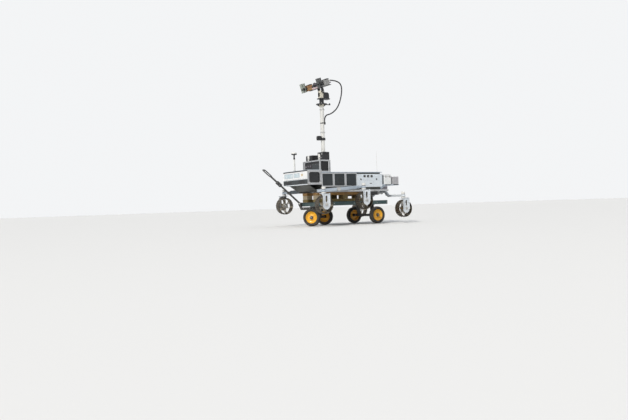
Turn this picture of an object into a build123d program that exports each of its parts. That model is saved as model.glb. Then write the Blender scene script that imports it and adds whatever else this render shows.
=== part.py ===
from build123d import *
import os
from math import radians, tan

# Planetary rover prototype with a camera mast, carried on its four-wheel pull cart.
# Millimetres. +X is the rover's front, +Y its left side, +Z up, and the floor is z = 0.
# The pieces are laid out about the middle of the rover's wheelbase, and at the end all
# of them are moved so that the origin lies on the floor under the middle of the outline.

# A bar whose level direction is shorter than this stands upright.
upright_limit = 0.01

# Rover stance: where the six steering axes stand and how high each wheel hangs.
half_wheelbase = 767.0
half_track = 620.0
middle_wheel_x = 20.0
front_wheel_z = 335.0
middle_wheel_z = 385.0
rear_wheel_z = 235.0

# Flexible metal wheel: a thin rim, flat between its corners, with cross bars on every second
# corner of the outside, carried by curved leaf springs on a twelve-sided hub.
rim_radius = 135.0
rim_wall = 3.0
rim_sides = 24
wheel_width = 110.0
grouser_height = 7.5
grouser_length = 5.0
grouser_count = 12
spring_count = 6
hub_sides = 12
spring_wall = 3.2
spring_width = 84.0
spring_bow = 28.0
hub_radius = 36.0
hub_width = 96.0
axle_radius = 10.0
axle_clearance = 0.05

# Wheel bracket: a slotted outboard plate with turned edges, a top plate and the steering shaft.
bracket_wall = 8.0
bracket_half_width = 62.0
bracket_wheel_gap = 11.0
bracket_head_room = 20.0
bracket_foot_drop = 12.0
bracket_flange = 12.0
bracket_flange_wall = 5.0
bracket_slot_width = 34.0
bracket_slot_length = 96.0
bracket_slot_rise = 38.0
bracket_top_reach = 33.0
bracket_arc_sides = 16
bracket_slot_sides = 8
axle_end = 6.0
steer_shaft_radius = 11.0
steer_shaft_length = 36.0
steer_clearance = 0.05
steer_face_gap = 1.5

# Steering drive above each wheel: a gearbox ring and the motor can on it.
drive_sides = 12
drive_ring_radius = 35.0
drive_ring_height = 18.0
drive_can_radius = 30.0
drive_can_height = 82.0
drive_bore_end = 1.0

# Bogies: two along the sides for the front and middle wheels, one across the rear.
bogie_beam_width = 36.0
bogie_beam_height = 52.0
bogie_body_gap = 44.0
bogie_arm_width = 44.0
bogie_arm_height = 34.0
bogie_arm_lift = 40.0
bogie_drive_grip = 6.0
bogie_pivot_radius = 34.0
bogie_pivot_sides = 12
bogie_pivot_cap = 16.0
rear_bogie_raise = 74.0
rear_bogie_knee_in = 150.0
rear_bogie_knee_out = 240.0
rear_pivot_radius = 38.0
rear_pivot_cap = 24.0
rear_pivot_block_length = 36.0
rear_pivot_block_half = 60.0
rear_pivot_block_foot = 6.0

# Chassis body: the belly tub and what stands ahead of it, behind it and on its sides.
body_half_width = 330.0
belly_z = 560.0
deck_z = 835.0
deck_wall = 10.0
profile = 30.0
side_unit_depth = 60.0
side_unit_length = 489.0
side_unit_inset = 4.0
side_unit_foot = 40.0
side_unit_height = 212.0
port_radius = 13.0
port_depth = 12.0
port_sides = 8
port_rise = 175.0
port_first = 214.0
port_pitch = 70.0
port_count = 3
cover_depth = 40.0
cover_foot = 52.0
battery_length = 260.0
battery_inset = 74.0
battery_width = 72.0
battery_height = 60.0
cross_rail_spread = 419.0

# Front bay, an open profile frame closed by panels.
front_setback = 127.0
front_overhang = 133.0
front_half_width = 380.0
front_belly_rise = 90.0
front_split_drop = 93.0
front_deck_rise = 41.0
panel_wall = 6.0
window_wall = 4.0
belly_slope_foot = 60.0
belly_slope_half = 300.0

# Rear shelf and its boxes: gap ahead of each, then its length, width and height.
rear_setback = 239.0
rear_overhang = 113.0
rail_tail = 142.0
shelf_z = 622.0
shelf_wall = 6.0
rear_box_side = 380.0
white_box_gap = 48.0
white_box_length = 146.0
white_box_width = 290.0
white_box_height = 178.0
clear_box_gap = 30.0
clear_box_length = 126.0
clear_box_width = 260.0
clear_box_height = 139.0
lower_box_length = 123.0
lower_box_width = 225.0
lower_box_height = 62.0
gusset_width = 8.0
gusset_inset = 40.0
gusset_length = 120.0
gusset_drop = 62.0

# Payload holes in the deck.
payload_from_rear = 328.0
payload_pitch_x = 300.0
payload_pitch_y = 400.0
payload_hole_radius = 3.3
payload_hole_depth = 8.0

# Rack on the deck's front, its black case and the two boxes and two beacons on top.
rack_length = 200.0
rack_width = 520.0
rack_height = 195.0
rack_profile = 20.0
rack_case_gap = 4.0
low_box_length = 140.0
low_box_width = 200.0
low_box_height = 95.0
high_box_length = 120.0
high_box_width = 170.0
high_box_height = 130.0
beacon_radius = 17.0
beacon_height = 92.0
beacon_inset = 36.0
beacon_spread = 325.0

# Antennas: the round satellite receiver on its pole and the thin whip.
gps_front = 95.0
antenna_inset = 30.0
gps_z = 1165.0
gps_pole_radius = 13.0
gps_radius = 46.0
gps_height = 40.0
whip_from_rear = 38.0
whip_radius = 5.0
whip_top_z = 1187.0
antenna_sides = 8

# Mast, its foot with gussets, and the flange with its tail under the head.
mast_behind_rack = 80.0
mast_radius = 32.5
mast_top_z = 1925.0
mast_foot_radius = 72.0
mast_foot_height = 14.0
mast_foot_sides = 12
mast_gusset_height = 70.0
mast_gusset_wall = 8.0
mast_gusset_count = 4
mast_gusset_turn = 45.0
collar_radius = 40.0
collar_height = 36.0
flange_radius = 92.0
flange_wall = 12.0
flange_tail = 165.0
flange_tail_width = 30.0
flange_knob_radius = 12.0
flange_knob_height = 18.0
cable_clip_z = 1640.0
cable_clip_height = 40.0
cable_clip_half = 16.0
cable_clip_reach = 24.0
loc_camera_z = 1380.0
loc_clamp_radius = 44.0
loc_clamp_height = 40.0
loc_camera_reach = 110.0
loc_camera_half = 34.0
loc_camera_height = 70.0

# Pan drive, the turning pan and tilt unit and the tilt pin.
neck_radius = 37.0
neck_height = 74.0
neck_sides = 16
neck_gusset_reach = 78.0
neck_gusset_share = 2 / 3
neck_gusset_wall = 12.0
pan_shaft_radius = 14.0
pan_shaft_length = 30.0
pan_clearance = 0.05
pan_gap = 1.5
pan_table_wall = 14.0
pan_table_rear = 140.0
pan_table_front = 62.0
pan_table_half = 52.0
tilt_axis_z = 2170.0
unit_half = 39.0
black_unit_rear = 125.0
black_unit_top = 10.0
cream_unit_rear = 20.0
cream_unit_front = 46.0
cream_unit_top = 14.0
tilt_pin_radius = 9.0
tilt_pin_clearance = 0.05
tilt_pin_end = 4.0

# Camera head, laid out about the tilt axis and then tilted: a bench on two cheeks, a camera
# with two front plates at each end of the bench, and a third camera in the middle.
head_rest_tilt = 17.0
cheek_inner = 44.5
cheek_wall = 10.0
cheek_half = 24.0
bench_rise = 60.0
bench_wall = 10.0
bench_half_depth = 36.0
bench_half_width = 286.0
stereo_y = 250.0
camera_rear = 12.0
camera_length = 106.0
camera_width = 64.0
camera_height = 92.0
cover_wall = 12.0
cover_over = 8.0
barrel_radius = 24.0
barrel_sides = 12
plate_gap = 34.0
plate_pitch = 50.0
plate_wall = 8.0
plate_width = 72.0
plate_height = 150.0
plate_drop = 8.0
middle_camera_length = 170.0
middle_camera_width = 60.0
middle_camera_height = 56.0
middle_fin_height = 44.0
middle_fin_length = 90.0
connector_radius = 12.0
connector_length = 44.0
connector_sides = 8
connector_rise = 62.0
connector_pitch = 30.0

# Head cable: from the left camera's rear down to the clip on the mast. Each bend is given by
# how far it lies behind the mast's axis, its y and its height.
cable_radius = 10.0
cable_sides = 6
cable_gap = 3.0
run_share = 0.45
cable_last_run = 110.0
cable_bends = [(185.0, 250.0, 2318.0), (258.0, 236.0, 2190.0), (262.0, 110.0, 1930.0), (170.0, 25.0, 1815.0)]

# Pull cart: the frame, the deck and both axles.
kingpin_setback = 277.0
rear_axle_setback = 327.0
cart_nose = 150.0
cart_tail = 214.0
cart_half_track = 330.0
cart_wheel_radius = 140.0
cart_wheel_width = 84.0
cart_wheel_sides = 20
cart_rim_radius = 92.0
cart_rim_width = 58.0
cart_rim_lip = 8.0
cart_dish_depth = 20.0
cart_dish_radius = 44.0
cart_back_depth = 30.0
cart_hub_radius = 24.0
cart_hub_width = 74.0
cart_hub_sides = 12
cart_axle_end = 8.0
cart_beam = 40.0
cart_beam_half = 250.0
cart_deck_half_width = 345.0
cart_deck_z = 380.0
cart_deck_wall = 4.0
cart_rail_height = 60.0
cart_rail_width = 40.0
cart_hanger_y = 190.0
cart_hanger_wall = 10.0
cart_hanger_half = 40.0
cart_rest_steer = 50.0
turntable_radius = 130.0
turntable_sides = 16
turntable_wall = 8.0
turntable_gap = 0.8
pivot_block_half = 90.0
kingpin_radius = 14.0
kingpin_clearance = 0.05
kingpin_rise = 28.0
kingpin_bore_rise = 30.0
front_hanger_y = 90.0

# Drawbar: the fork under the turntable, the hinge pin, the bar and its D-shaped handle.
fork_start = 60.0
fork_half = 26.0
fork_wall = 8.0
fork_depth = 44.0
fork_neck = 24.0
fork_nose = 20.0
drawbar_root = 310.0
drawbar_root_z = 365.0
drawbar_rest_angle = 43.0
drawbar_radius = 15.0
drawbar_sides = 12
drawbar_length = 660.0
drawbar_pin_radius = 8.0
drawbar_pin_clearance = 0.05
drawbar_barrel_radius = 18.0
drawbar_barrel_half = 16.0
drawbar_block_from_end = 220.0
drawbar_block_length = 100.0
drawbar_block_half = 27.0
handle_width = 130.0
handle_length = 200.0
handle_radius = 10.0
handle_shoulder = 40.0

# Timber packing between the cart's deck and the belly rails.
timber_thickness = 45.0
timber_width = 140.0
timber_y = 160.0
timber_rear_inset = 10.0
timber_block_length = 100.0
timber_block_places = (0.05, 0.5, 0.95)

# Where each rover wheel stands: name, x, side, height of its centre.
wheel_places = [
    ("front_left", half_wheelbase, 1.0, front_wheel_z),
    ("front_right", half_wheelbase, -1.0, front_wheel_z),
    ("middle_left", middle_wheel_x, 1.0, middle_wheel_z),
    ("middle_right", middle_wheel_x, -1.0, middle_wheel_z),
    ("rear_left", -half_wheelbase, 1.0, rear_wheel_z),
    ("rear_right", -half_wheelbase, -1.0, rear_wheel_z),
]
side_signs = {"left": 1.0, "right": -1.0}

# Section of the cart's tyre: place across its half width, and height between rim and tread.
tyre_stations = [(-1.0, 0.45), (-0.86, 0.85), (-0.5, 1.0), (0.5, 1.0), (0.86, 0.85), (1.0, 0.45)]

lug_radius = rim_radius + grouser_height
bracket_top = lug_radius + bracket_head_room
plate_top = bracket_top + bracket_wall
plate_inner = wheel_width / 2 + bracket_wheel_gap
plate_outer = plate_inner + bracket_wall
drive_base = plate_top + steer_face_gap
arm_level = drive_base + bogie_arm_lift
side_skin = body_half_width + side_unit_depth
rail_outer = body_half_width + profile
bogie_beam_y = side_skin + bogie_body_gap + bogie_beam_width / 2
bogie_pivot_x = (half_wheelbase + middle_wheel_x) / 2
arm_tip = half_track - drive_can_radius + bogie_drive_grip
tub_front = half_wheelbase - front_setback
tub_rear = rear_setback - half_wheelbase
bay_front = half_wheelbase + front_overhang
shelf_rear = -half_wheelbase - rear_overhang
rail_rear = tub_rear - rail_tail
deck_top = deck_z + deck_wall
front_bottom_z = belly_z + front_belly_rise
front_split_z = deck_z - front_split_drop
front_top_z = deck_z + front_deck_rise
unit_rear = tub_rear + side_unit_inset
unit_front = unit_rear + side_unit_length
payload_x = tub_rear + payload_from_rear
rack_rear = tub_front - rack_length
rack_right = body_half_width - rack_width
rack_top = deck_top + rack_height
mast_x = rack_rear - mast_behind_rack
rear_pivot_z = rear_wheel_z + arm_level + rear_bogie_raise
kingpin_x = half_wheelbase - kingpin_setback
rear_axle_x = rear_axle_setback - half_wheelbase
cart_front = kingpin_x + cart_nose
cart_rear = rear_axle_x - cart_tail
frame_top = cart_deck_z - cart_deck_wall
frame_bottom = frame_top - cart_rail_height
turn_plate_z = frame_bottom - turntable_wall - turntable_gap
cart_axle_half = cart_half_track + cart_hub_width / 2 + cart_axle_end
flange_z = mast_top_z + collar_height
neck_z = flange_z + flange_wall
neck_top = neck_z + neck_height
table_z = neck_top + pan_gap
table_top = table_z + pan_table_wall
bench_top = bench_rise + bench_wall


def block(x0, x1, y0, y1, z0, z1):
    """A box between two corners."""
    middle = ((x0 + x1) / 2, (y0 + y1) / 2, (z0 + z1) / 2)
    return Pos(*middle) * Box(abs(x1 - x0), abs(y1 - y0), abs(z1 - z0))


def rod(start, end, radius, sides=0):
    """A bar from one point to another, round, or many-sided where a count of sides is given."""
    line = Vector(*end) - Vector(*start)
    outline = RegularPolygon(radius, sides) if sides else Circle(radius)
    return extrude(Plane(origin=start, z_dir=line) * outline, line.length)


def beam(start, end, width, height):
    """A square-cut bar, its width level and its height upright."""
    line = Vector(*end) - Vector(*start)
    level = Vector(0, 0, 1).cross(line)
    if level.length < upright_limit:
        level = Vector(1, 0, 0)
    return extrude(Plane(origin=start, x_dir=level, z_dir=line) * Rectangle(width, height), line.length)


def plate(points, y, wall):
    """An upright plate from its outline in x and z, with its middle at y."""
    return Pos(0, y, 0) * extrude(Plane.XZ * make_face(Polyline(*points, close=True)), wall / 2, both=True)


def joined(solids):
    """One shape from a list of solids that touch."""
    whole = solids[0]
    for solid in solids[1:]:
        whole += solid
    return whole


def flexible_wheel():
    """Rim, cross bars, bowed leaf springs and hub about the Y axis, as one welded wheel."""
    rim = RegularPolygon(rim_radius, rim_sides)
    lug_middle = rim_radius + grouser_height / 2 - rim_wall / 2
    for i in range(grouser_count):
        lug = Pos(lug_middle, 0) * Rectangle(grouser_height + rim_wall, grouser_length)
        rim += Rot(0, 0, 360.0 / grouser_count * i) * lug
    rim -= RegularPolygon(rim_radius - rim_wall, rim_sides)
    inner = hub_radius - spring_wall
    outer = rim_radius - 2 * rim_wall
    bow = [(inner, 0.0), (inner + (outer - inner) / 3, spring_bow), (outer - (outer - inner) / 3, spring_bow),
           (rim_radius - rim_wall / 2, 0.0)]
    upper = [(u, v + spring_wall / 2) for u, v in bow]
    lower = [(u, v - spring_wall / 2) for u, v in reversed(bow)]
    leaf = make_face(Polyline(*upper, *lower, close=True))
    hub = RegularPolygon(hub_radius, hub_sides, rotation=180.0 / hub_sides)
    solids = [extrude(Plane.XZ * rim, wheel_width / 2, both=True)]
    solids.append(extrude(Plane.XZ * hub, hub_width / 2, both=True))
    for i in range(spring_count):
        turned = Rot(0, 0, 360.0 / spring_count * i) * leaf
        solids.append(extrude(Plane.XZ * turned, spring_width / 2, both=True))
    bore = extrude(Plane.XZ * Circle(axle_radius + axle_clearance), hub_width, both=True)
    return joined(solids) - bore


def wheel_bracket(side):
    """Slotted outboard plate with its axle, top plate and steering shaft, about the wheel's centre."""
    outline = Rectangle(2 * bracket_half_width, plate_top + bracket_foot_drop)
    outline = Pos(0, (plate_top - bracket_foot_drop) / 2) * outline
    outline += Pos(0, -bracket_foot_drop) * RegularPolygon(bracket_half_width, bracket_arc_sides)
    slot_half = (bracket_slot_length - bracket_slot_width) / 2
    slot_middle = bracket_slot_rise + bracket_slot_length / 2
    slot = Pos(0, slot_middle) * Rectangle(bracket_slot_width, 2 * slot_half)
    for end in (-slot_half, slot_half):
        slot += Pos(0, slot_middle + end) * RegularPolygon(bracket_slot_width / 2, bracket_slot_sides)
    solids = [Pos(0, plate_outer, 0) * extrude(Plane.XZ * (outline - slot), bracket_wall)]
    for edge in (-bracket_half_width, bracket_half_width - bracket_flange_wall):
        solids.append(block(edge, edge + bracket_flange_wall, plate_inner, plate_outer + bracket_flange,
                            -bracket_foot_drop, plate_top))
    solids.append(block(-bracket_half_width, bracket_half_width, -bracket_top_reach, plate_outer,
                        bracket_top, plate_top))
    solids.append(rod((0, 0, bracket_top), (0, 0, plate_top + steer_shaft_length), steer_shaft_radius))
    solids.append(rod((0, plate_outer, 0), (0, -hub_width / 2 - axle_end, 0), axle_radius))
    shape = joined(solids)
    return shape if side > 0 else mirror(shape, Plane.XZ)


def steering_drive():
    """Gearbox ring and motor can over one wheel, with the bore of the steering shaft."""
    ring = extrude(RegularPolygon(drive_ring_radius, drive_sides), drive_ring_height)
    can = extrude(RegularPolygon(drive_can_radius, drive_sides), drive_ring_height + drive_can_height)
    bore = extrude(Circle(steer_shaft_radius + steer_clearance), steer_shaft_length + drive_bore_end)
    return Pos(0, 0, drive_base) * (ring + can - bore)


def drive_hole(x, side, z):
    """What the motor can takes out of the bogie's arm."""
    can = extrude(RegularPolygon(drive_can_radius, drive_sides), drive_ring_height + drive_can_height)
    return Pos(x, side * half_track, z + drive_base) * can


def side_bogie(side):
    """Front and middle wheels' beam, its two outboard arms and the pivot shaft to the body."""
    front = (half_wheelbase, side * bogie_beam_y, front_wheel_z + arm_level)
    middle = (middle_wheel_x, side * bogie_beam_y, middle_wheel_z + arm_level)
    half = bogie_arm_width / 2
    rise = (middle[2] - front[2]) / (middle[0] - front[0]) * half
    ahead = (front[0] + half, front[1], front[2] + rise)
    behind = (middle[0] - half, middle[1], middle[2] - rise)
    solids = [beam(ahead, behind, bogie_beam_width, bogie_beam_height)]
    for x, y, z in (front, middle):
        solids.append(beam((x, y, z), (x, side * arm_tip, z), bogie_arm_width, bogie_arm_height))
    pivot_z = (front[2] + middle[2]) / 2
    cap = side * (bogie_beam_y + bogie_beam_width / 2 + bogie_pivot_cap)
    solids.append(rod((bogie_pivot_x, side * rail_outer, pivot_z), (bogie_pivot_x, cap, pivot_z),
                      bogie_pivot_radius, bogie_pivot_sides))
    front_hole = drive_hole(half_wheelbase, side, front_wheel_z)
    middle_hole = drive_hole(middle_wheel_x, side, middle_wheel_z)
    return joined(solids) - front_hole - middle_hole


def rear_bogie():
    """Cross beam of the rear wheels, raised over its middle pivot."""
    low = rear_wheel_z + arm_level
    path = [(-arm_tip, low), (-rear_bogie_knee_out, low), (-rear_bogie_knee_in, rear_pivot_z),
            (rear_bogie_knee_in, rear_pivot_z), (rear_bogie_knee_out, low), (arm_tip, low)]
    half = bogie_arm_height / 2
    upper = [(y, z + half) for y, z in path]
    lower = [(y, z - half) for y, z in reversed(path)]
    outline = make_face(Polyline(*upper, *lower, close=True))
    shape = Pos(-half_wheelbase, 0, 0) * extrude(Plane.YZ * outline, bogie_arm_width / 2, both=True)
    shape += rod((-half_wheelbase - bogie_arm_width / 2 - rear_pivot_cap, 0, rear_pivot_z),
                 (rail_rear - rear_pivot_block_length, 0, rear_pivot_z), rear_pivot_radius, bogie_pivot_sides)
    for side in side_signs.values():
        shape -= drive_hole(-half_wheelbase, side, rear_wheel_z)
    return shape


nodes = {}


def build_suspension():
    drives = [Pos(x, side * half_track, z) * steering_drive() for name, x, side, z in wheel_places]
    nodes["steering_drives"] = Compound(drives)
    nodes["bogie_left"] = side_bogie(1.0)
    nodes["bogie_right"] = side_bogie(-1.0)
    nodes["bogie_rear"] = rear_bogie()
    wheel = flexible_wheel()
    for name, x, side, z in wheel_places:
        place = Pos(x, side * half_track, z)
        nodes["wheel_" + name] = place * wheel
        nodes["bracket_" + name] = place * wheel_bracket(side)


def build_tub():
    nodes["belly_tub"] = block(tub_rear, tub_front, -body_half_width, body_half_width, belly_z, deck_z)
    deck = block(tub_rear, tub_front, -side_skin, side_skin, deck_z, deck_top)
    for x in (payload_x - payload_pitch_x / 2, payload_x + payload_pitch_x / 2):
        for y in (-payload_pitch_y / 2, payload_pitch_y / 2):
            floor = (x, y, deck_top - payload_hole_depth)
            deck -= rod(floor, (x, y, deck_top + deck_wall), payload_hole_radius)
    nodes["deck_plate"] = deck
    # Aluminium profile under the belly, with the seats of the side bogies and the rear bogie's block.
    rail_y = body_half_width + profile / 2
    rail_z = belly_z - profile / 2
    pivot_z = (front_wheel_z + middle_wheel_z) / 2 + arm_level
    rails = []
    for side in side_signs.values():
        y = side * rail_y
        rails.append(beam((rail_rear, y, rail_z), (tub_front, y, rail_z), profile, profile))
        rails.append(block(bogie_pivot_x - bogie_pivot_radius, bogie_pivot_x + bogie_pivot_radius,
                           side * body_half_width, side * rail_outer, belly_z, pivot_z + bogie_pivot_radius))
    for x in (rail_rear + profile / 2, middle_wheel_x - cross_rail_spread, middle_wheel_x,
              middle_wheel_x + cross_rail_spread):
        rails.append(beam((x, -rail_y, rail_z), (x, rail_y, rail_z), profile, profile))
    rails.append(block(rail_rear - rear_pivot_block_length, rail_rear, -rear_pivot_block_half,
                       rear_pivot_block_half, rear_pivot_z - rear_pivot_radius - rear_pivot_block_foot,
                       shelf_z))
    nodes["chassis_rails"] = joined(rails)
    units = []
    for side in side_signs.values():
        bottom = belly_z + side_unit_foot
        unit = block(unit_rear, unit_front, side * body_half_width, side * side_skin, bottom,
                     bottom + side_unit_height)
        for i in range(port_count):
            x = unit_rear + port_first + port_pitch * i
            unit -= rod((x, side * (side_skin - port_depth), bottom + port_rise),
                        (x, side * (side_skin + port_depth), bottom + port_rise), port_radius, port_sides)
        units.append(unit)
    nodes["side_units"] = Compound(units)
    nodes["side_covers"] = Compound([
        block(unit_front, tub_front, side * body_half_width, side * (body_half_width + cover_depth),
              belly_z + cover_foot, deck_z) for side in side_signs.values()])
    battery_x = unit_rear + battery_inset
    nodes["battery_boxes"] = Compound([
        block(battery_x, battery_x + battery_length, side * (rail_outer - battery_width), side * rail_outer,
              belly_z - profile - battery_height, belly_z - profile) for side in side_signs.values()])


def build_front_bay():
    y = front_half_width - profile / 2
    rear = tub_front + profile / 2
    front = bay_front - profile / 2
    bars = []
    for x in (rear, front):
        for side in side_signs.values():
            bars.append(beam((x, side * y, front_bottom_z), (x, side * y, front_top_z), profile, profile))
        for z in (front_bottom_z + profile / 2, front_top_z - profile / 2):
            bars.append(beam((x, -y, z), (x, y, z), profile, profile))
    for z in (front_bottom_z + profile / 2, front_top_z - profile / 2):
        for side in side_signs.values():
            bars.append(beam((rear, side * y, z), (front, side * y, z), profile, profile))
    nodes["front_frame"] = joined(bars)
    inside = front_half_width - profile
    nodes["front_side_windows"] = Compound([
        block(tub_front + profile, bay_front - profile, side * inside, side * (inside + window_wall),
              front_bottom_z + profile, front_top_z - profile) for side in side_signs.values()])
    nodes["front_upper_panel"] = block(bay_front, bay_front + panel_wall, -front_half_width, front_half_width,
                                       front_split_z, front_top_z)
    nodes["front_lower_panel"] = block(bay_front, bay_front + panel_wall, -front_half_width, front_half_width,
                                       front_bottom_z, front_split_z)
    nodes["front_top_panel"] = block(tub_front, bay_front, -front_half_width, front_half_width, front_top_z,
                                     front_top_z + panel_wall)
    # Sloping belly plate from the tub's foot up to the bay's front.
    foot = tub_front + belly_slope_foot
    nose = bay_front - belly_slope_foot
    slope = [(tub_front, belly_z), (foot, belly_z), (nose, front_bottom_z),
             (nose - 2 * panel_wall, front_bottom_z), (foot - panel_wall, belly_z + panel_wall),
             (tub_front, belly_z + panel_wall)]
    nodes["front_belly_plate"] = plate(slope, 0, 2 * belly_slope_half)


def build_rear():
    top = shelf_z + shelf_wall
    shelf = [block(shelf_rear, tub_rear, -front_half_width, front_half_width, shelf_z, top)]
    for side in side_signs.values():
        y = side * (rail_outer - gusset_inset)
        gusset = [(tub_rear, shelf_z), (tub_rear - gusset_length, shelf_z), (tub_rear, shelf_z - gusset_drop)]
        shelf.append(plate(gusset, y, gusset_width))
    lower_left = body_half_width - profile
    lower_rear = rail_rear - profile
    shelf.append(block(lower_rear, lower_rear + lower_box_length, lower_left - lower_box_width, lower_left,
                       shelf_z - lower_box_height, shelf_z))
    nodes["rear_shelf"] = joined(shelf)
    white_front = tub_rear - white_box_gap
    white_rear = white_front - white_box_length
    clear_front = white_rear - clear_box_gap
    nodes["rear_white_box"] = block(white_rear, white_front, rear_box_side - white_box_width, rear_box_side,
                                    top, top + white_box_height)
    clear_rear = clear_front - clear_box_length
    nodes["rear_clear_box"] = block(clear_rear, clear_front, rear_box_side - clear_box_width,
                                    rear_box_side, top, top + clear_box_height)


def build_deck_gear():
    half = rack_profile / 2
    left = body_half_width - half
    right = rack_right + half
    bars = []
    for x in (rack_rear + half, tub_front - half):
        for y in (right, left):
            bars.append(beam((x, y, deck_top), (x, y, rack_top), rack_profile, rack_profile))
        for z in (deck_top + half, rack_top - half):
            bars.append(beam((x, right, z), (x, left, z), rack_profile, rack_profile))
    for y in (right, left):
        for z in (deck_top + half, rack_top - half):
            bars.append(beam((rack_rear + half, y, z), (tub_front - half, y, z), rack_profile, rack_profile))
    nodes["top_rack"] = joined(bars)
    case = block(rack_rear + rack_profile, tub_front - rack_profile, rack_right + rack_profile,
                 body_half_width - rack_profile, deck_top, rack_top - rack_profile - rack_case_gap)
    low = block(rack_rear, rack_rear + low_box_length, rack_right, rack_right + low_box_width,
                rack_top, rack_top + low_box_height)
    high = block(rack_rear, rack_rear + high_box_length, body_half_width - rack_profile - high_box_width,
                 body_half_width - rack_profile, rack_top, rack_top + high_box_height)
    nodes["top_electronics"] = Compound([case, low, high])
    antennas = []
    for y in (body_half_width - beacon_inset, body_half_width - beacon_inset - beacon_spread):
        x = tub_front - beacon_radius
        antennas.append(rod((x, y, rack_top), (x, y, rack_top + beacon_height), beacon_radius, antenna_sides))
    gps_x = tub_front + gps_front
    gps_y = antenna_inset - body_half_width
    pole_foot = (gps_x, gps_y, front_top_z + panel_wall)
    satellite = rod(pole_foot, (gps_x, gps_y, gps_z), gps_pole_radius, antenna_sides)
    satellite += rod((gps_x, gps_y, gps_z), (gps_x, gps_y, gps_z + gps_height), gps_radius, 2 * antenna_sides)
    whip_x = tub_rear + whip_from_rear
    whip_y = body_half_width - antenna_inset
    antennas.append(satellite)
    antennas.append(rod((whip_x, whip_y, deck_top), (whip_x, whip_y, whip_top_z), whip_radius, antenna_sides))
    nodes["antennas"] = Compound(antennas)


def on_mast(low, high, radius, sides=0):
    """A bar along the mast's axis between two heights."""
    return rod((mast_x, 0, low), (mast_x, 0, high), radius, sides)


def build_mast():
    foot_top = deck_top + mast_foot_height
    tube = on_mast(deck_top, mast_top_z, mast_radius)
    tube += on_mast(deck_top, foot_top, mast_foot_radius, mast_foot_sides)
    gusset = [(0, foot_top), (mast_foot_radius - mast_gusset_wall, foot_top),
              (0, foot_top + mast_gusset_height)]
    for i in range(mast_gusset_count):
        turn = mast_gusset_turn + 360.0 / mast_gusset_count * i
        tube += Pos(mast_x, 0, 0) * Rot(0, 0, turn) * plate(gusset, 0, mast_gusset_wall)
    tube += block(mast_x - mast_radius - cable_clip_reach, mast_x, -cable_clip_half, cable_clip_half,
                  cable_clip_z, cable_clip_z + cable_clip_height)
    nodes["mast_tube"] = tube
    flange = on_mast(mast_top_z, flange_z, collar_radius, neck_sides)
    flange += on_mast(flange_z, neck_z, flange_radius, mast_foot_sides)
    flange += block(mast_x - flange_tail, mast_x, -flange_tail_width / 2, flange_tail_width / 2,
                    flange_z, neck_z)
    knob_x = mast_x - flange_tail + flange_knob_radius
    flange += rod((knob_x, 0, neck_z), (knob_x, 0, neck_z + flange_knob_height), flange_knob_radius,
                  connector_sides)
    nodes["mast_flange"] = flange
    clamp = on_mast(loc_camera_z, loc_camera_z + loc_clamp_height, loc_clamp_radius, neck_sides)
    clamp += block(mast_x, mast_x + loc_camera_reach, -loc_camera_half, loc_camera_half, loc_camera_z,
                   loc_camera_z + loc_camera_height)
    nodes["localisation_camera"] = clamp - on_mast(deck_top, mast_top_z, mast_radius)


def build_pan_unit():
    neck = on_mast(neck_z, neck_top, neck_radius, neck_sides)
    gusset_top = neck_z + neck_height * neck_gusset_share
    gusset = [(mast_x, neck_z), (mast_x - neck_gusset_reach, neck_z), (mast_x - neck_radius, gusset_top),
              (mast_x, gusset_top)]
    neck += plate(gusset, 0, neck_gusset_wall)
    bore_floor = neck_top - pan_shaft_length
    neck -= on_mast(bore_floor, neck_top + pan_gap, pan_shaft_radius + pan_clearance)
    nodes["pan_drive"] = neck
    unit = block(mast_x - pan_table_rear, mast_x + pan_table_front, -pan_table_half, pan_table_half,
                 table_z, table_top)
    unit += on_mast(bore_floor + pan_gap, table_z, pan_shaft_radius)
    unit += block(mast_x - black_unit_rear, mast_x - cream_unit_rear, -unit_half, unit_half, table_top,
                  tilt_axis_z - black_unit_top)
    nodes["pan_yoke"] = unit
    housing = block(mast_x - cream_unit_rear, mast_x + cream_unit_front, -unit_half, unit_half, table_top,
                    tilt_axis_z + cream_unit_top)
    pin_end = cheek_inner + cheek_wall + tilt_pin_end
    housing += rod((mast_x, -pin_end, tilt_axis_z), (mast_x, pin_end, tilt_axis_z), tilt_pin_radius)
    nodes["tilt_housing"] = housing


def in_head(shape):
    """Moves a shape from the head's own layout to its place on the tilt axis."""
    return Pos(mast_x, 0, tilt_axis_z) * Rot(0, head_rest_tilt, 0) * shape


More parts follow.
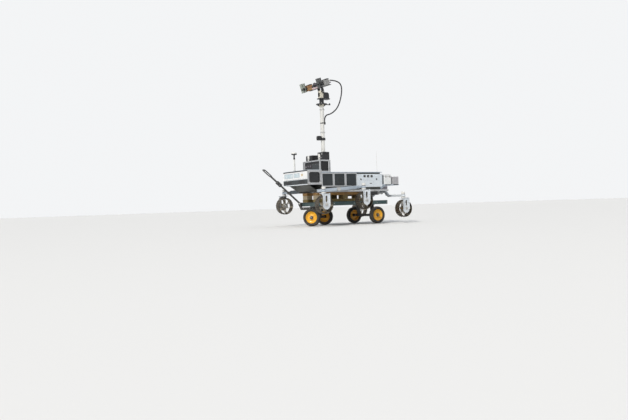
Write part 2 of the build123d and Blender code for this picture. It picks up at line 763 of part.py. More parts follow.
def build_head():
    bench = [block(-bench_half_depth, bench_half_depth, -bench_half_width, bench_half_width,
                   bench_rise, bench_top)]
    bore = tilt_pin_radius + tilt_pin_clearance
    for side in side_signs.values():
        inner = side * cheek_inner
        outer = side * (cheek_inner + cheek_wall)
        bench.append(block(-cheek_half, cheek_half, inner, outer, 0, bench_rise))
        bench.append(rod((0, inner, 0), (0, outer, 0), cheek_half, neck_sides))
    bench = joined(bench) - rod((0, -bench_half_width, 0), (0, bench_half_width, 0), bore)
    nodes["head_bench"] = in_head(bench)
    bodies = []
    hoods = []
    front = camera_length - camera_rear
    for side in side_signs.values():
        y = side * stereo_y
        half = camera_width / 2
        top = bench_top + camera_height
        axis_z = bench_top + camera_height / 2
        body = block(-camera_rear, front, y - half, y + half, bench_top, top)
        body += block(-camera_rear - cover_over, front + cover_over, y - half, y + half, top,
                      top + cover_wall)
        for rise in (connector_rise - connector_pitch, connector_rise):
            z = bench_top + rise
            body += rod((-camera_rear - connector_length, y, z), (-camera_rear, y, z), connector_radius,
                        connector_sides)
        bodies.append(in_head(body))
        last = front + plate_gap + plate_pitch
        hood = rod((front, y, axis_z), (last, y, axis_z), barrel_radius, barrel_sides)
        for x in (last - plate_pitch, last):
            bottom = bench_top - plate_drop
            hood += block(x, x + plate_wall, y - plate_width / 2, y + plate_width / 2, bottom,
                          bottom + plate_height)
        hoods.append(in_head(hood))
    nodes["camera_bodies"] = Compound(bodies)
    nodes["camera_hoods"] = Compound(hoods)
    half = middle_camera_width / 2
    rear = -bench_half_depth
    base = bench_top + middle_camera_height
    camera = block(rear, rear + middle_camera_length, -half, half, bench_top, base)
    tip = rear + middle_camera_length
    fin_rear = tip - middle_fin_length
    fin = [(tip, base), (fin_rear, base), (fin_rear, base + middle_fin_height / 2),
           (tip - middle_fin_length / 2, base + middle_fin_height)]
    nodes["middle_camera"] = in_head(camera + plate(fin, 0, middle_camera_width / 2))


def build_cable():
    """Head cable: straight runs joined by arcs, each as large as its two runs allow."""
    socket_x = -camera_rear - connector_length - cable_gap
    start = in_head(Pos(socket_x, stereo_y, bench_top + connector_rise)).position
    clip = Vector(mast_x - mast_radius - cable_clip_reach / 2, 0, cable_clip_z + cable_clip_height)
    points = [start] + [Vector(mast_x - back, y, z) for back, y, z in cable_bends]
    points += [clip + Vector(0, 0, cable_last_run), clip]
    radii = []
    for before, corner, after in zip(points, points[1:], points[2:]):
        coming = corner - before
        going = after - corner
        half_turn = radians(coming.get_angle(going)) / 2
        radii.append(run_share * min(coming.length, going.length) / tan(half_turn))
    print("the cable's radii are", [round(radius, 1) for radius in radii])
    route = FilletPolyline(*points, radius=radii)
    section = Plane(origin=route @ 0, z_dir=route % 0) * RegularPolygon(cable_radius, cable_sides)
    nodes["head_cable"] = sweep(section, path=route)


def cart_wheel_tyre():
    height = cart_wheel_radius - cart_rim_radius
    sections = []
    for across, rise in tyre_stations:
        outline = Plane.XZ * RegularPolygon(cart_rim_radius + rise * height, cart_wheel_sides)
        sections.append(Pos(0, across * cart_wheel_width / 2, 0) * outline)
    bore = extrude(Plane.XZ * RegularPolygon(cart_rim_radius, cart_wheel_sides), cart_wheel_width, both=True)
    return loft(sections, ruled=True) - bore


def cart_wheel_rim():
    """Dished rim with its hub, the dish on the +Y side."""
    half = cart_rim_width / 2
    lip = cart_rim_radius - cart_rim_lip
    rim = extrude(Plane.XZ * RegularPolygon(cart_rim_radius, cart_wheel_sides), half, both=True)
    mouth = Plane.XZ * RegularPolygon(lip, cart_wheel_sides)
    foot = Plane.XZ * RegularPolygon(cart_dish_radius, cart_wheel_sides)
    dish = loft([Pos(0, half, 0) * mouth, Pos(0, half - cart_dish_depth, 0) * foot], ruled=True)
    back = Pos(0, -half, 0) * extrude(Plane.XZ * RegularPolygon(lip, cart_wheel_sides), -cart_back_depth)
    hub = extrude(Plane.XZ * RegularPolygon(cart_hub_radius, cart_hub_sides), cart_hub_width / 2, both=True)
    bore = extrude(Plane.XZ * Circle(axle_radius + axle_clearance), cart_hub_width, both=True)
    return rim - dish - back + hub - bore


def turned_front(shape):
    """Moves a shape from the kingpin's own layout to its place, turned as it rests."""
    return Pos(kingpin_x, 0, 0) * Rot(0, 0, -cart_rest_steer) * shape


def cart_axle(hanger_y, hanger_top):
    """Axle rod and beam at wheel height, and two hanger plates up to a given height."""
    z = cart_wheel_radius
    solids = [rod((0, -cart_axle_half, z), (0, cart_axle_half, z), axle_radius)]
    solids.append(beam((0, -cart_beam_half, z), (0, cart_beam_half, z), cart_beam, cart_beam))
    for side in side_signs.values():
        solids.append(block(-cart_hanger_half, cart_hanger_half, side * hanger_y,
                            side * (hanger_y + cart_hanger_wall), z, hanger_top))
    return solids


def build_cart_frame():
    middle = (frame_bottom + frame_top) / 2
    rail_y = cart_deck_half_width - cart_rail_width / 2
    half = cart_rail_width / 2
    bars = [beam((cart_rear, side * rail_y, middle), (cart_front, side * rail_y, middle), cart_rail_width,
                 cart_rail_height) for side in side_signs.values()]
    for x in (cart_rear + half, rear_axle_x, middle_wheel_x, kingpin_x - pivot_block_half, cart_front - half):
        bars.append(beam((x, -rail_y, middle), (x, rail_y, middle), cart_rail_width, cart_rail_height))
    bars.append(block(kingpin_x - pivot_block_half, cart_front - half, -pivot_block_half, pivot_block_half,
                      frame_bottom, frame_top))
    bars.append(rod((kingpin_x, 0, frame_bottom - turntable_wall), (kingpin_x, 0, frame_bottom),
                    turntable_radius, turntable_sides))
    bore = rod((kingpin_x, 0, turn_plate_z), (kingpin_x, 0, frame_bottom + kingpin_bore_rise),
               kingpin_radius + kingpin_clearance)
    nodes["cart_frame"] = joined(bars) - bore
    nodes["cart_deck"] = block(cart_rear, cart_front, -cart_deck_half_width, cart_deck_half_width,
                               frame_top, cart_deck_z)
    nodes["cart_rear_axle"] = Pos(rear_axle_x, 0, 0) * joined(cart_axle(cart_hanger_y, frame_bottom))


def build_cart_front():
    plate_bottom = turn_plate_z - turntable_wall
    front = [rod((0, 0, plate_bottom), (0, 0, turn_plate_z), turntable_radius, turntable_sides)]
    front.append(rod((0, 0, plate_bottom), (0, 0, frame_bottom + kingpin_rise), kingpin_radius))
    front += cart_axle(front_hanger_y, plate_bottom)
    top = turn_plate_z - turntable_wall / 2
    low = drawbar_root_z - drawbar_barrel_radius
    high = drawbar_root_z + drawbar_barrel_radius
    neck = drawbar_root - fork_neck
    nose = drawbar_root + fork_nose
    arm = [(fork_start, top), (neck, top), (neck, high), (nose, high), (nose, low), (neck, top - fork_depth),
           (fork_start, top - fork_depth)]
    for side in side_signs.values():
        front.append(plate(arm, side * fork_half, fork_wall))
    front.append(rod((drawbar_root, -fork_half, drawbar_root_z), (drawbar_root, fork_half, drawbar_root_z),
                     drawbar_pin_radius))
    nodes["cart_front_axle"] = turned_front(joined(front))


def build_cart_wheels():
    tyre = cart_wheel_tyre()
    rim = cart_wheel_rim()
    for name, side in side_signs.items():
        sided = rim if side > 0 else mirror(rim, Plane.XZ)
        place = Pos(0, side * cart_half_track, cart_wheel_radius)
        nodes["cart_tyre_rear_" + name] = Pos(rear_axle_x, 0, 0) * place * tyre
        nodes["cart_rim_rear_" + name] = Pos(rear_axle_x, 0, 0) * place * sided
        nodes["cart_tyre_front_" + name] = turned_front(place * tyre)
        nodes["cart_rim_front_" + name] = turned_front(place * sided)


def build_drawbar():
    bar = [rod((0, 0, 0), (drawbar_length, 0, 0), drawbar_radius, drawbar_sides)]
    bar.append(rod((0, -drawbar_barrel_half, 0), (0, drawbar_barrel_half, 0), drawbar_barrel_radius,
                   drawbar_sides))
    block_start = drawbar_length - drawbar_block_from_end
    half = drawbar_block_half
    bar.append(block(block_start, block_start + drawbar_block_length, -half, half, -half, half))
    start = drawbar_length - handle_radius
    shoulder = drawbar_length + handle_shoulder
    end = drawbar_length + handle_length
    wide = handle_width / 2
    loop = make_face(Polyline((start, -drawbar_radius), (shoulder, -wide), (end, -wide), (end, wide),
                              (shoulder, wide), (start, drawbar_radius), close=True))
    inside = offset(loop, -2 * handle_radius, kind=Kind.INTERSECTION)
    bar.append(extrude(loop - inside, handle_radius, both=True))
    bore = rod((0, -drawbar_length, 0), (0, drawbar_length, 0), drawbar_pin_radius + drawbar_pin_clearance)
    lift = Pos(drawbar_root, 0, drawbar_root_z) * Rot(0, -drawbar_rest_angle, 0)
    nodes["drawbar"] = turned_front(lift * (joined(bar) - bore))


def build_timber():
    rear = rear_axle_x + timber_rear_inset
    length = cart_front - rear
    top = belly_z - profile
    stacks = []
    for side in side_signs.values():
        y0 = side * timber_y - timber_width / 2
        y1 = side * timber_y + timber_width / 2
        stack = [block(rear, cart_front, y0, y1, cart_deck_z, cart_deck_z + timber_thickness),
                 block(rear, cart_front, y0, y1, top - timber_thickness, top)]
        for share in timber_block_places:
            x = rear + share * length
            stack.insert(1, block(x - timber_block_length / 2, x + timber_block_length / 2, y0, y1,
                                  cart_deck_z + timber_thickness, top - timber_thickness))
        stacks.append(joined(stack))
    nodes["timber_packing"] = Compound(stacks)


build_suspension()
build_tub()
build_front_bay()
build_rear()
build_deck_gear()
build_mast()
build_pan_unit()
build_head()
build_cable()
build_cart_frame()
build_cart_front()
build_cart_wheels()
build_drawbar()
build_timber()

boxes = [shape.bounding_box() for shape in nodes.values()]
outline_x = (min(box.min.X for box in boxes) + max(box.max.X for box in boxes)) / 2
outline_y = (min(box.min.Y for box in boxes) + max(box.max.Y for box in boxes)) / 2
print("the outline's middle stands at", round(outline_x, 4), round(outline_y, 4))
os.makedirs("parts", exist_ok=True)
for name, shape in nodes.items():
    solids = [Pos(-outline_x, -outline_y, 0) * solid for solid in shape.solids()]
    export_step(solids[0] if len(solids) == 1 else Compound(solids), "parts/" + name + ".step")
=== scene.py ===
import bpy
import bmesh
from math import cos, pi, radians, sin
import numpy as np
from mathutils import Matrix, Vector


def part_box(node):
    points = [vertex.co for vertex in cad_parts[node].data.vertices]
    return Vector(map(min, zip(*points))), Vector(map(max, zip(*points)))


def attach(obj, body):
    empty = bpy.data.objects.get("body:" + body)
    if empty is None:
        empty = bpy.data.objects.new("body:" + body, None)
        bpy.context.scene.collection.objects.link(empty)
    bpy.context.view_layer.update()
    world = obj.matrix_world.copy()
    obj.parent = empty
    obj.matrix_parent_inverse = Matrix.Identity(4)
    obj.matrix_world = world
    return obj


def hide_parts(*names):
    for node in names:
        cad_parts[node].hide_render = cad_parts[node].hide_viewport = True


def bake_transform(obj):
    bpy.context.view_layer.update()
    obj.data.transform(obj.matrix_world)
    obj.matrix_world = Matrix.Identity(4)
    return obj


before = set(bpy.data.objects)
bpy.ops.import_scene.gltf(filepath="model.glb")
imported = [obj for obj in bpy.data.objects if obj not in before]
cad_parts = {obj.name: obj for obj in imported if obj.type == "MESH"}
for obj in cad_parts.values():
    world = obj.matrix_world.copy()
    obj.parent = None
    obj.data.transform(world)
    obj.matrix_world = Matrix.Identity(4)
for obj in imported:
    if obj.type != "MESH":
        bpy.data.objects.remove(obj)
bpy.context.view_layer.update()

# Six-wheel rover with its camera mast, standing on the pull cart.
# Places are written in metres from the middle of the rover's wheelbase on the floor,
# +X to the rover's front and +Y to its left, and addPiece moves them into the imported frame.
wheelBoxes = [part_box("wheel_front_left"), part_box("wheel_rear_left"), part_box("wheel_front_right")]
wheelMiddles = [np.array((low + high) / 2) for low, high in wheelBoxes]
roverOrigin = np.array([(wheelMiddles[0][0] + wheelMiddles[1][0]) / 2,
        (wheelMiddles[0][1] + wheelMiddles[2][1]) / 2, 0.0])
print("rover origin in the packed frame", roverOrigin.round(5).tolist())



def linked(name, data):
    # new object in the scene's collection
    made = bpy.data.objects.new(name, data)
    bpy.context.scene.collection.objects.link(made)
    return made


# camera, floor and light
cameraView = {"place": (5.951, 8.825, 0.32), "heading": 31.37, "nose": 0.69, "roll": -1.272, "lens": 36.81}


def placeCamera(view):
    # forward and right are the level directions of the heading, leaned by the rover's nose angle,
    # then the picture is rolled about the line of sight
    heading, nose, roll = (radians(view[key]) for key in ("heading", "nose", "roll"))

    def leaned(x, y, z):
        return np.array([x * cos(nose) - z * sin(nose), y, x * sin(nose) + z * cos(nose)])

    forward = leaned(-sin(heading), -cos(heading), 0)
    right = leaned(-cos(heading), sin(heading), 0)
    up = leaned(0, 0, 1)
    rolledRight = right * cos(roll) + up * sin(roll)
    rolledUp = up * cos(roll) - right * sin(roll)
    data = bpy.data.cameras.new("photoCamera")
    data.sensor_width = 36.0
    data.lens = view["lens"]
    data.clip_end = 400.0
    camera = linked("photoCamera", data)
    place = np.array(view["place"]) + roverOrigin
    columns = np.column_stack([rolledRight, rolledUp, -forward])
    camera.matrix_world = Matrix([[*columns[i], place[i]] for i in range(3)] + [[0, 0, 0, 1]])
    bpy.context.scene.camera = camera


placeCamera(cameraView)


def addNode(tree, kind, links=None, **settings):
    # a shader node with its settings, and its inputs linked or set by name or number
    node = tree.nodes.new("ShaderNode" + kind)
    for key, value in settings.items():
        setattr(node, key, value)
    for key, value in (links or {}).items():
        if isinstance(value, bpy.types.NodeSocket):
            tree.links.new(value, node.inputs[key])
        else:
            node.inputs[key].default_value = value
    return node


def spread(tree, value, fromLow, fromHigh, toLow=0.0, toHigh=1.0):
    # value carried in a straight line from the first range to the second, and kept inside it
    return addNode(tree, "MapRange", {0: value, 1: fromLow, 2: fromHigh, 3: toLow, 4: toHigh}).outputs[0]


def mixed(tree, share, first, second, way="MIX"):
    # first colour times (1 - share) plus second colour times share, or the product where the way is multiply
    return addNode(tree, "Mix", {0: share, 6: first, 7: second}, data_type="RGBA", blend_type=way).outputs[2]


def maths(tree, way, *values, clamp=False):
    # one sum on its two or three values
    return addNode(tree, "Math", dict(enumerate(values)), operation=way, use_clamp=clamp).outputs[0]


def noise(tree, place, scale, detail, rough=0.5):
    # layered noise at the place
    return addNode(tree, "TexNoise", {"Vector": place, "Scale": scale, "Detail": detail,
            "Roughness": rough}).outputs[0]


def newFinish(name):
    # node tree of a new material, emptied, and the object's own coordinates
    finish = bpy.data.materials.new(name)
    finish.use_nodes = True
    finish.node_tree.nodes.clear()
    return finish.node_tree, addNode(finish.node_tree, "TexCoord").outputs["Object"]


def wornEdge(tree, radius):
    # rounded normal, and its dot product with the true one: under 1 along the edges
    rounded = addNode(tree, "Bevel", {"Radius": radius}, samples=3).outputs[0]
    own = addNode(tree, "NewGeometry").outputs["Normal"]
    bend = addNode(tree, "VectorMath", {0: rounded, 1: own}, operation="DOT_PRODUCT").outputs["Value"]
    return rounded, own, bend


def shaded(tree, inputs):
    # principled shader joined to the output
    addNode(tree, "OutputMaterial", {0: addNode(tree, "BsdfPrincipled", inputs).outputs[0]})


studio = {"skyTop": (0.58, 0.62, 0.68, 1), "skyLow": (0.3, 0.3, 0.295, 1), "sunPower": 2.3, "sunAngle": 7.0,
        "sunColour": (1.0, 0.965, 0.91), "sunFrom": (0.66, 0.3, 0.69), "fillPower": 120.0,
        "fillFrom": (7.5, 13.0, 6.5), "fillAt": (0, 0, 0.8), "fillSize": 9.0,
        "backdrop": (0.9, 0.91, 0.92, 1), "floor": (0.78, 0.77, 0.75, 1), "floorSize": 90.0}


def buildStudio(look):
    # sky from low to high by the height of the view, one sun, one soft fill and the floor
    world = bpy.data.worlds.new("studio")
    bpy.context.scene.world = world
    world.use_nodes = True
    tree = world.node_tree
    tree.nodes.clear()
    height = addNode(tree, "SeparateXYZ", {0: addNode(tree, "TexCoord").outputs["Generated"]})
    sky = mixed(tree, spread(tree, height.outputs[2], -0.15, 0.9), look["skyLow"], look["skyTop"])
    seen = addNode(tree, "LightPath").outputs
    mirrored = maths(tree, "MAXIMUM", seen["Is Camera Ray"], seen["Is Glossy Ray"])
    direct = maths(tree, "MAXIMUM", mirrored, seen["Is Transmission Ray"])
    shine = addNode(tree, "Background", {0: mixed(tree, direct, sky, look["backdrop"]), 1: 1.0})
    addNode(tree, "OutputWorld", {0: shine.outputs[0]})
    sun = bpy.data.lights.new("sun", "SUN")
    sun.energy = look["sunPower"]
    sun.angle = radians(look["sunAngle"])
    sun.color = look["sunColour"]
    lamp = linked("sun", sun)
    lamp.rotation_mode = "QUATERNION"
    lamp.rotation_quaternion = Vector(-np.array(look["sunFrom"])).to_track_quat("-Z", "Y")
    fill = bpy.data.lights.new("fill", "AREA")
    fill.shape = "DISK"
    fill.size = look["fillSize"]
    fill.energy = look["fillPower"]
    softbox = linked("fill", fill)
    softbox.location = look["fillFrom"]
    softbox.rotation_mode = "QUATERNION"
    softbox.rotation_quaternion = (Vector(look["fillAt"]) - Vector(look["fillFrom"])).to_track_quat("-Z", "Y")
    size = look["floorSize"]
    ground = bpy.data.meshes.new("studioFloor")
    ground.from_pydata([(-size, -size, 0), (size, -size, 0), (size, size, 0), (-size, size, 0)], [],
            [(0, 1, 2, 3)])
    floor = linked("studioFloor", ground)
    cover = bpy.data.materials.new("floorPaper")
    cover.use_nodes = True
    paper = cover.node_tree.nodes["Principled BSDF"].inputs
    paper["Base Color"].default_value = look["floor"]
    paper["Roughness"].default_value = 0.95
    ground.materials.append(cover)


buildStudio(studio)
bpy.context.scene.view_settings.view_transform = "Standard"
print("camera, light and floor placed")

# finishes
plainLook = {"colour": (0.5, 0.5, 0.5), "tone": (0.45, 0.45, 0.45), "toneScale": 7.0, "toneShare": 0.8,
        "grain": 0.25, "grainScale": (260.0, 260.0, 260.0), "metal": 0.0, "rough": (0.4, 0.55), "bump": 0.08,
        "worn": (0.5, 0.5, 0.5), "wornShare": 0.35, "edgeWidth": 0.0016, "dust": 0.25,
        "dustColour": (0.52, 0.43, 0.32), "coat": 0.0}


def makeFinish(name, **changes):
    # colour: two tones mixed by a broad noise, darkened by a fine one, worn through along the edges,
    # with dust where a face looks up or stands near the floor; roughness and bump follow the same noises
    look = {**plainLook, **changes}
    tree, spot = newFinish(name)
    broad = noise(tree, spot, look["toneScale"], 5.0, 0.6)
    stretched = addNode(tree, "Mapping", {"Vector": spot, "Scale": look["grainScale"]}).outputs[0]
    fine = noise(tree, stretched, 1.0, 3.0)
    toned = mixed(tree, spread(tree, broad, 0.36, 0.64, 0.0, look["toneShare"]), (*look["colour"], 1),
            (*look["tone"], 1))
    shade = spread(tree, fine, 0.3, 0.7, 1.0 - look["grain"], 1.0 + look["grain"] / 2)
    grained = mixed(tree, 1.0, toned, shade, "MULTIPLY")
    rounded, own, bend = wornEdge(tree, look["edgeWidth"])
    edge = spread(tree, bend, 0.985, 0.8, 0.0, look["wornShare"])
    wear = maths(tree, "MULTIPLY", edge, spread(tree, broad, 0.38, 0.6, 0.25), clamp=True)
    wornMix = mixed(tree, wear, grained, (*look["worn"], 1))
    upward = spread(tree, addNode(tree, "SeparateXYZ", {0: own}).outputs[2], 0.15, 1.0, 0.0, 0.7)
    low = spread(tree, addNode(tree, "SeparateXYZ", {0: spot}).outputs[2], 0.75, 0.05, 0.0, 0.75)
    drift = spread(tree, noise(tree, spot, 16.0, 6.0, 0.7), 0.4, 0.68, 0.1)
    amount = maths(tree, "MULTIPLY", maths(tree, "ADD", upward, low), drift)
    dusty = maths(tree, "MULTIPLY", amount, look["dust"], clamp=True)
    smooth = spread(tree, broad, 0.3, 0.7, *look["rough"])
    relief = addNode(tree, "Bump", {"Height": fine, "Normal": rounded, "Strength": look["bump"],
            "Distance": 0.0015})
    shaded(tree, {"Base Color": mixed(tree, dusty, wornMix, (*look["dustColour"], 1)),
           "Metallic": look["metal"], "Roughness": maths(tree, "MULTIPLY_ADD", dusty, 0.5, smooth,
           clamp=True), "Normal": relief.outputs[0], "Coat Weight": look["coat"]})


def makeWood(name, light, dark, stain):
    # grain runs along X: rings about a far-off centre line, stretched along the plank and bent by a noise
    tree, spot = newFinish(name)
    along = addNode(tree, "Mapping", {"Vector": spot, "Scale": (0.9, 9.0, 9.0),
            "Location": (0.0, 0.7, 1.3)}).outputs[0]
    bent = addNode(tree, "TexNoise", {"Vector": along, "Scale": 1.4, "Detail": 4.0}).outputs["Color"]
    pushed = addNode(tree, "VectorMath", {0: bent, 1: (0.9, 0.9, 0.9), 2: along},
            operation="MULTIPLY_ADD").outputs[0]
    rings = addNode(tree, "TexWave", {"Vector": pushed, "Scale": 2.6, "Distortion": 2.2, "Detail": 3.0},
            wave_type="RINGS", rings_direction="X").outputs["Fac"]
    fine = noise(tree, addNode(tree, "Mapping", {"Vector": spot, "Scale": (14.0, 420.0, 420.0)}).outputs[0],
            1.0, 4.0)
    depth = spread(tree, maths(tree, "MULTIPLY_ADD", rings, 0.55, fine), 0.35, 1.1)
    soiled = spread(tree, noise(tree, spot, 6.0, 6.0, 0.65), 0.5, 0.7, 0.0, 0.55)
    rounded, _, bend = wornEdge(tree, 0.003)
    darker = maths(tree, "MAXIMUM", soiled, spread(tree, bend, 0.99, 0.8, 0.0, 0.5))
    relief = addNode(tree, "Bump", {"Height": fine, "Normal": rounded, "Strength": 0.35, "Distance": 0.001})
    shaded(tree, {"Base Color": mixed(tree, darker, mixed(tree, depth, (*light, 1), (*dark, 1)), (*stain, 1)),
           "Roughness": spread(tree, fine, 0.0, 1.0, 0.6, 0.85), "Normal": relief.outputs[0]})


def makeClear(name, tint, rough, clearness, smudge):
    # see-through sheet: tinted, lightly smudged by a noise, with roughness from the same noise
    tree, spot = newFinish(name)
    smears = noise(tree, spot, 24.0, 5.0, 0.65)
    shaded(tree, {"Base Color": mixed(tree, spread(tree, smears, 0.42, 0.7, 0.0, 0.6), (*tint, 1),
           (*smudge, 1)), "Roughness": spread(tree, smears, 0.3, 0.7, rough, rough + 0.22), "IOR": 1.45,
           "Transmission Weight": clearness})


# colour, second tone, roughness, grain, dust, and what else differs from the plain look
finishes = {
    "profileSilver": ((0.62, 0.63, 0.64), (0.52, 0.53, 0.55), (0.28, 0.42), 0.12, 0.3,
            dict(metal=0.85, grainScale=(60.0, 420.0, 420.0), bump=0.04, worn=(0.8, 0.8, 0.8))),
    "sheetSilver": ((0.52, 0.585, 0.65), (0.45, 0.52, 0.6), (0.36, 0.5), 0.14, 0.3,
            dict(metal=0.45, grainScale=(45.0, 300.0, 380.0), bump=0.05, worn=(0.85, 0.86, 0.88))),
    "machinedSilver": ((0.6, 0.6, 0.59), (0.5, 0.5, 0.5), (0.25, 0.4), 0.1, 0.25,
            dict(metal=0.9, grainScale=(300.0, 300.0, 40.0), bump=0.04, worn=(0.85, 0.85, 0.85))),
    "mastSilver": ((0.8, 0.79, 0.75), (0.68, 0.67, 0.64), (0.3, 0.45), 0.12, 0.25,
            dict(metal=0.55, grainScale=(500.0, 500.0, 20.0), bump=0.05, worn=(0.85, 0.84, 0.8))),
    "whitePaint": ((0.85, 0.85, 0.835), (0.78, 0.8, 0.81), (0.32, 0.5), 0.06, 0.2,
            dict(bump=0.06, grainScale=(500.0, 500.0, 500.0), worn=(0.45, 0.45, 0.44), wornShare=0.5)),
    # cream paint, partly painted sunlight: used on the tilt housing and the mast collar
    "creamPaint": ((0.74, 0.7, 0.58), (0.68, 0.64, 0.53), (0.35, 0.5), 0.06, 0.35,
            dict(bump=0.05, worn=(0.42, 0.4, 0.36), wornShare=0.5)),
    "blackPaint": ((0.018, 0.019, 0.022), (0.03, 0.031, 0.034), (0.32, 0.5), 0.3, 0.22,
            dict(bump=0.1, grainScale=(380.0, 380.0, 380.0), worn=(0.3, 0.3, 0.3), wornShare=0.55)),
    "darkPanel": ((0.012, 0.018, 0.022), (0.024, 0.031, 0.035), (0.3, 0.46), 0.25, 0.12,
            dict(bump=0.05, grainScale=(220.0, 220.0, 220.0), worn=(0.35, 0.36, 0.37), wornShare=0.4)),
    "electronicsBlack": ((0.014, 0.014, 0.016), (0.024, 0.024, 0.027), (0.42, 0.6), 0.35, 0.08,
            dict(bump=0.18, grainScale=(700.0, 700.0, 700.0), worn=(0.16, 0.16, 0.16), wornShare=0.25)),
    "wheelBronze": ((0.085, 0.072, 0.055), (0.04, 0.034, 0.027), (0.3, 0.5), 0.25, 0.25,
            dict(metal=0.65, grainScale=(160.0, 40.0, 160.0), bump=0.12, worn=(0.62, 0.57, 0.48),
            wornShare=0.6, toneScale=11.0)),
    "springSteel": ((0.5, 0.44, 0.33), (0.32, 0.27, 0.19), (0.25, 0.42), 0.18, 0.35,
            dict(metal=0.9, grainScale=(180.0, 60.0, 180.0), bump=0.06, worn=(0.8, 0.78, 0.74))),
    "plateSilver": ((0.77, 0.81, 0.845), (0.66, 0.72, 0.775), (0.32, 0.46), 0.1, 0.35,
            dict(metal=0.2, grainScale=(300.0, 300.0, 60.0), bump=0.05, worn=(0.9, 0.9, 0.9))),
    # side unit sheet: a paler, bluer copy of the sheet silver with little metal, partly a painted reflection
    # of the sky
    "sideSilver": ((0.77, 0.82, 0.86), (0.69, 0.755, 0.81), (0.34, 0.48), 0.07, 0.2,
            dict(metal=0.1, grainScale=(45.0, 300.0, 380.0), bump=0.04, worn=(0.9, 0.9, 0.9))),
    "underGrey": ((0.075, 0.08, 0.076), (0.12, 0.125, 0.115), (0.4, 0.55), 0.15, 0.2, dict(metal=0.3)),
    "driveBlack": ((0.025, 0.025, 0.028), (0.04, 0.04, 0.043), (0.35, 0.5), 0.2, 0.35,
            dict(bump=0.08, worn=(0.4, 0.4, 0.4))),
    "whitePlastic": ((0.8, 0.79, 0.76), (0.75, 0.74, 0.7), (0.38, 0.52), 0.05, 0.35,
            dict(bump=0.05, grainScale=(600.0, 600.0, 600.0), worn=(0.6, 0.58, 0.54))),
    "cameraBrown": ((0.42, 0.2, 0.075), (0.3, 0.14, 0.06), (0.32, 0.48), 0.18, 0.12,
            dict(metal=0.3, worn=(0.86, 0.74, 0.6), wornShare=0.75)),
    "cameraGrey": ((0.36, 0.355, 0.34), (0.25, 0.25, 0.25), (0.26, 0.44), 0.15, 0.12,
            dict(metal=0.65, worn=(0.85, 0.85, 0.84), wornShare=0.7)),
    "cartTeal": ((0.04, 0.085, 0.088), (0.025, 0.055, 0.06), (0.36, 0.58), 0.2, 0.16,
            dict(bump=0.1, worn=(0.24, 0.2, 0.17), wornShare=0.55)),
    "cartBlack": ((0.022, 0.023, 0.024), (0.036, 0.036, 0.036), (0.38, 0.58), 0.25, 0.1,
            dict(bump=0.12, worn=(0.26, 0.22, 0.19), wornShare=0.4)),
    "cartYellow": ((0.92, 0.46, 0.012), (0.84, 0.38, 0.01), (0.25, 0.4), 0.08, 0.14,
            dict(bump=0.05, worn=(0.4, 0.25, 0.1), wornShare=0.4, coat=0.2)),
    "tyreRubber": ((0.018, 0.018, 0.018), (0.028, 0.027, 0.025), (0.65, 0.85), 0.3, 0.14,
            dict(bump=0.25, grainScale=(420.0, 420.0, 420.0), worn=(0.07, 0.065, 0.055), wornShare=0.5)),
    "boltZinc": ((0.52, 0.52, 0.5), (0.4, 0.39, 0.37), (0.25, 0.4), 0.1, 0.3, dict(metal=0.95)),
    "boltBlack": ((0.03, 0.03, 0.03), (0.05, 0.05, 0.05), (0.35, 0.5), 0.15, 0.3, dict(metal=0.4)),
    "windowBlack": ((0.008, 0.009, 0.011), (0.012, 0.013, 0.016), (0.08, 0.2), 0.1, 0.16,
            dict(bump=0.0, wornShare=0.1)),
    "cableRubber": ((0.02, 0.02, 0.022), (0.03, 0.03, 0.03), (0.5, 0.68), 0.3, 0.12,
            dict(bump=0.3, grainScale=(90.0, 90.0, 900.0))),
    "lensGlass": ((0.012, 0.016, 0.024), (0.03, 0.02, 0.035), (0.03, 0.08), 0.05, 0.05,
            dict(bump=0.0, coat=1.0, wornShare=0.0)),
    "connectorMetal": ((0.24, 0.2, 0.26), (0.34, 0.33, 0.34), (0.25, 0.4), 0.15, 0.1, dict(metal=0.9)),
    "beigeLabel": ((0.62, 0.5, 0.33), (0.56, 0.45, 0.3), (0.5, 0.6), 0.08, 0.2, dict()),
    "tintedSheet": ((0.46, 0.57, 0.63), (0.7, 0.75, 0.76), (0.2, 0.35), 0.06, 0.3,
            dict(toneScale=9.0, bump=0.03)),
    "purpleGrey": ((0.56, 0.53, 0.58), (0.47, 0.44, 0.5), (0.35, 0.5), 0.15, 0.35,
            dict(metal=0.2, worn=(0.7, 0.68, 0.7))),
    "boardGrey": ((0.26, 0.3, 0.27), (0.34, 0.36, 0.33), (0.35, 0.5), 0.3, 0.1,
            dict(grainScale=(700.0, 700.0, 700.0))),
    "cellGrey": ((0.3, 0.28, 0.32), (0.38, 0.36, 0.4), (0.35, 0.5), 0.2, 0.1, dict()),
    "darkMetal": ((0.085, 0.085, 0.09), (0.12, 0.12, 0.12), (0.3, 0.45), 0.2, 0.2,
            dict(metal=0.7, worn=(0.5, 0.5, 0.5))),
    # lighter brown: painted highlight on the right camera's end and side plates
    "brownEdge": ((0.62, 0.42, 0.22), (0.5, 0.31, 0.14), (0.28, 0.42), 0.15, 0.1,
            dict(metal=0.4, worn=(0.9, 0.8, 0.66))),
    "pinkWhite": ((0.7, 0.56, 0.56), (0.6, 0.44, 0.46), (0.35, 0.5), 0.1, 0.1, dict()),
}
# tint, roughness, clearness and smudge
clearSheets = {
    "smokedPlate": ((0.1, 0.11, 0.11), 0.12, 0.4, (0.2, 0.2, 0.2)),
    "plateGlass": ((0.42, 0.47, 0.4), 0.1, 0.45, (0.5, 0.52, 0.46)),
    "clearGrey": ((0.66, 0.65, 0.67), 0.34, 0.42, (0.7, 0.69, 0.69)),
}
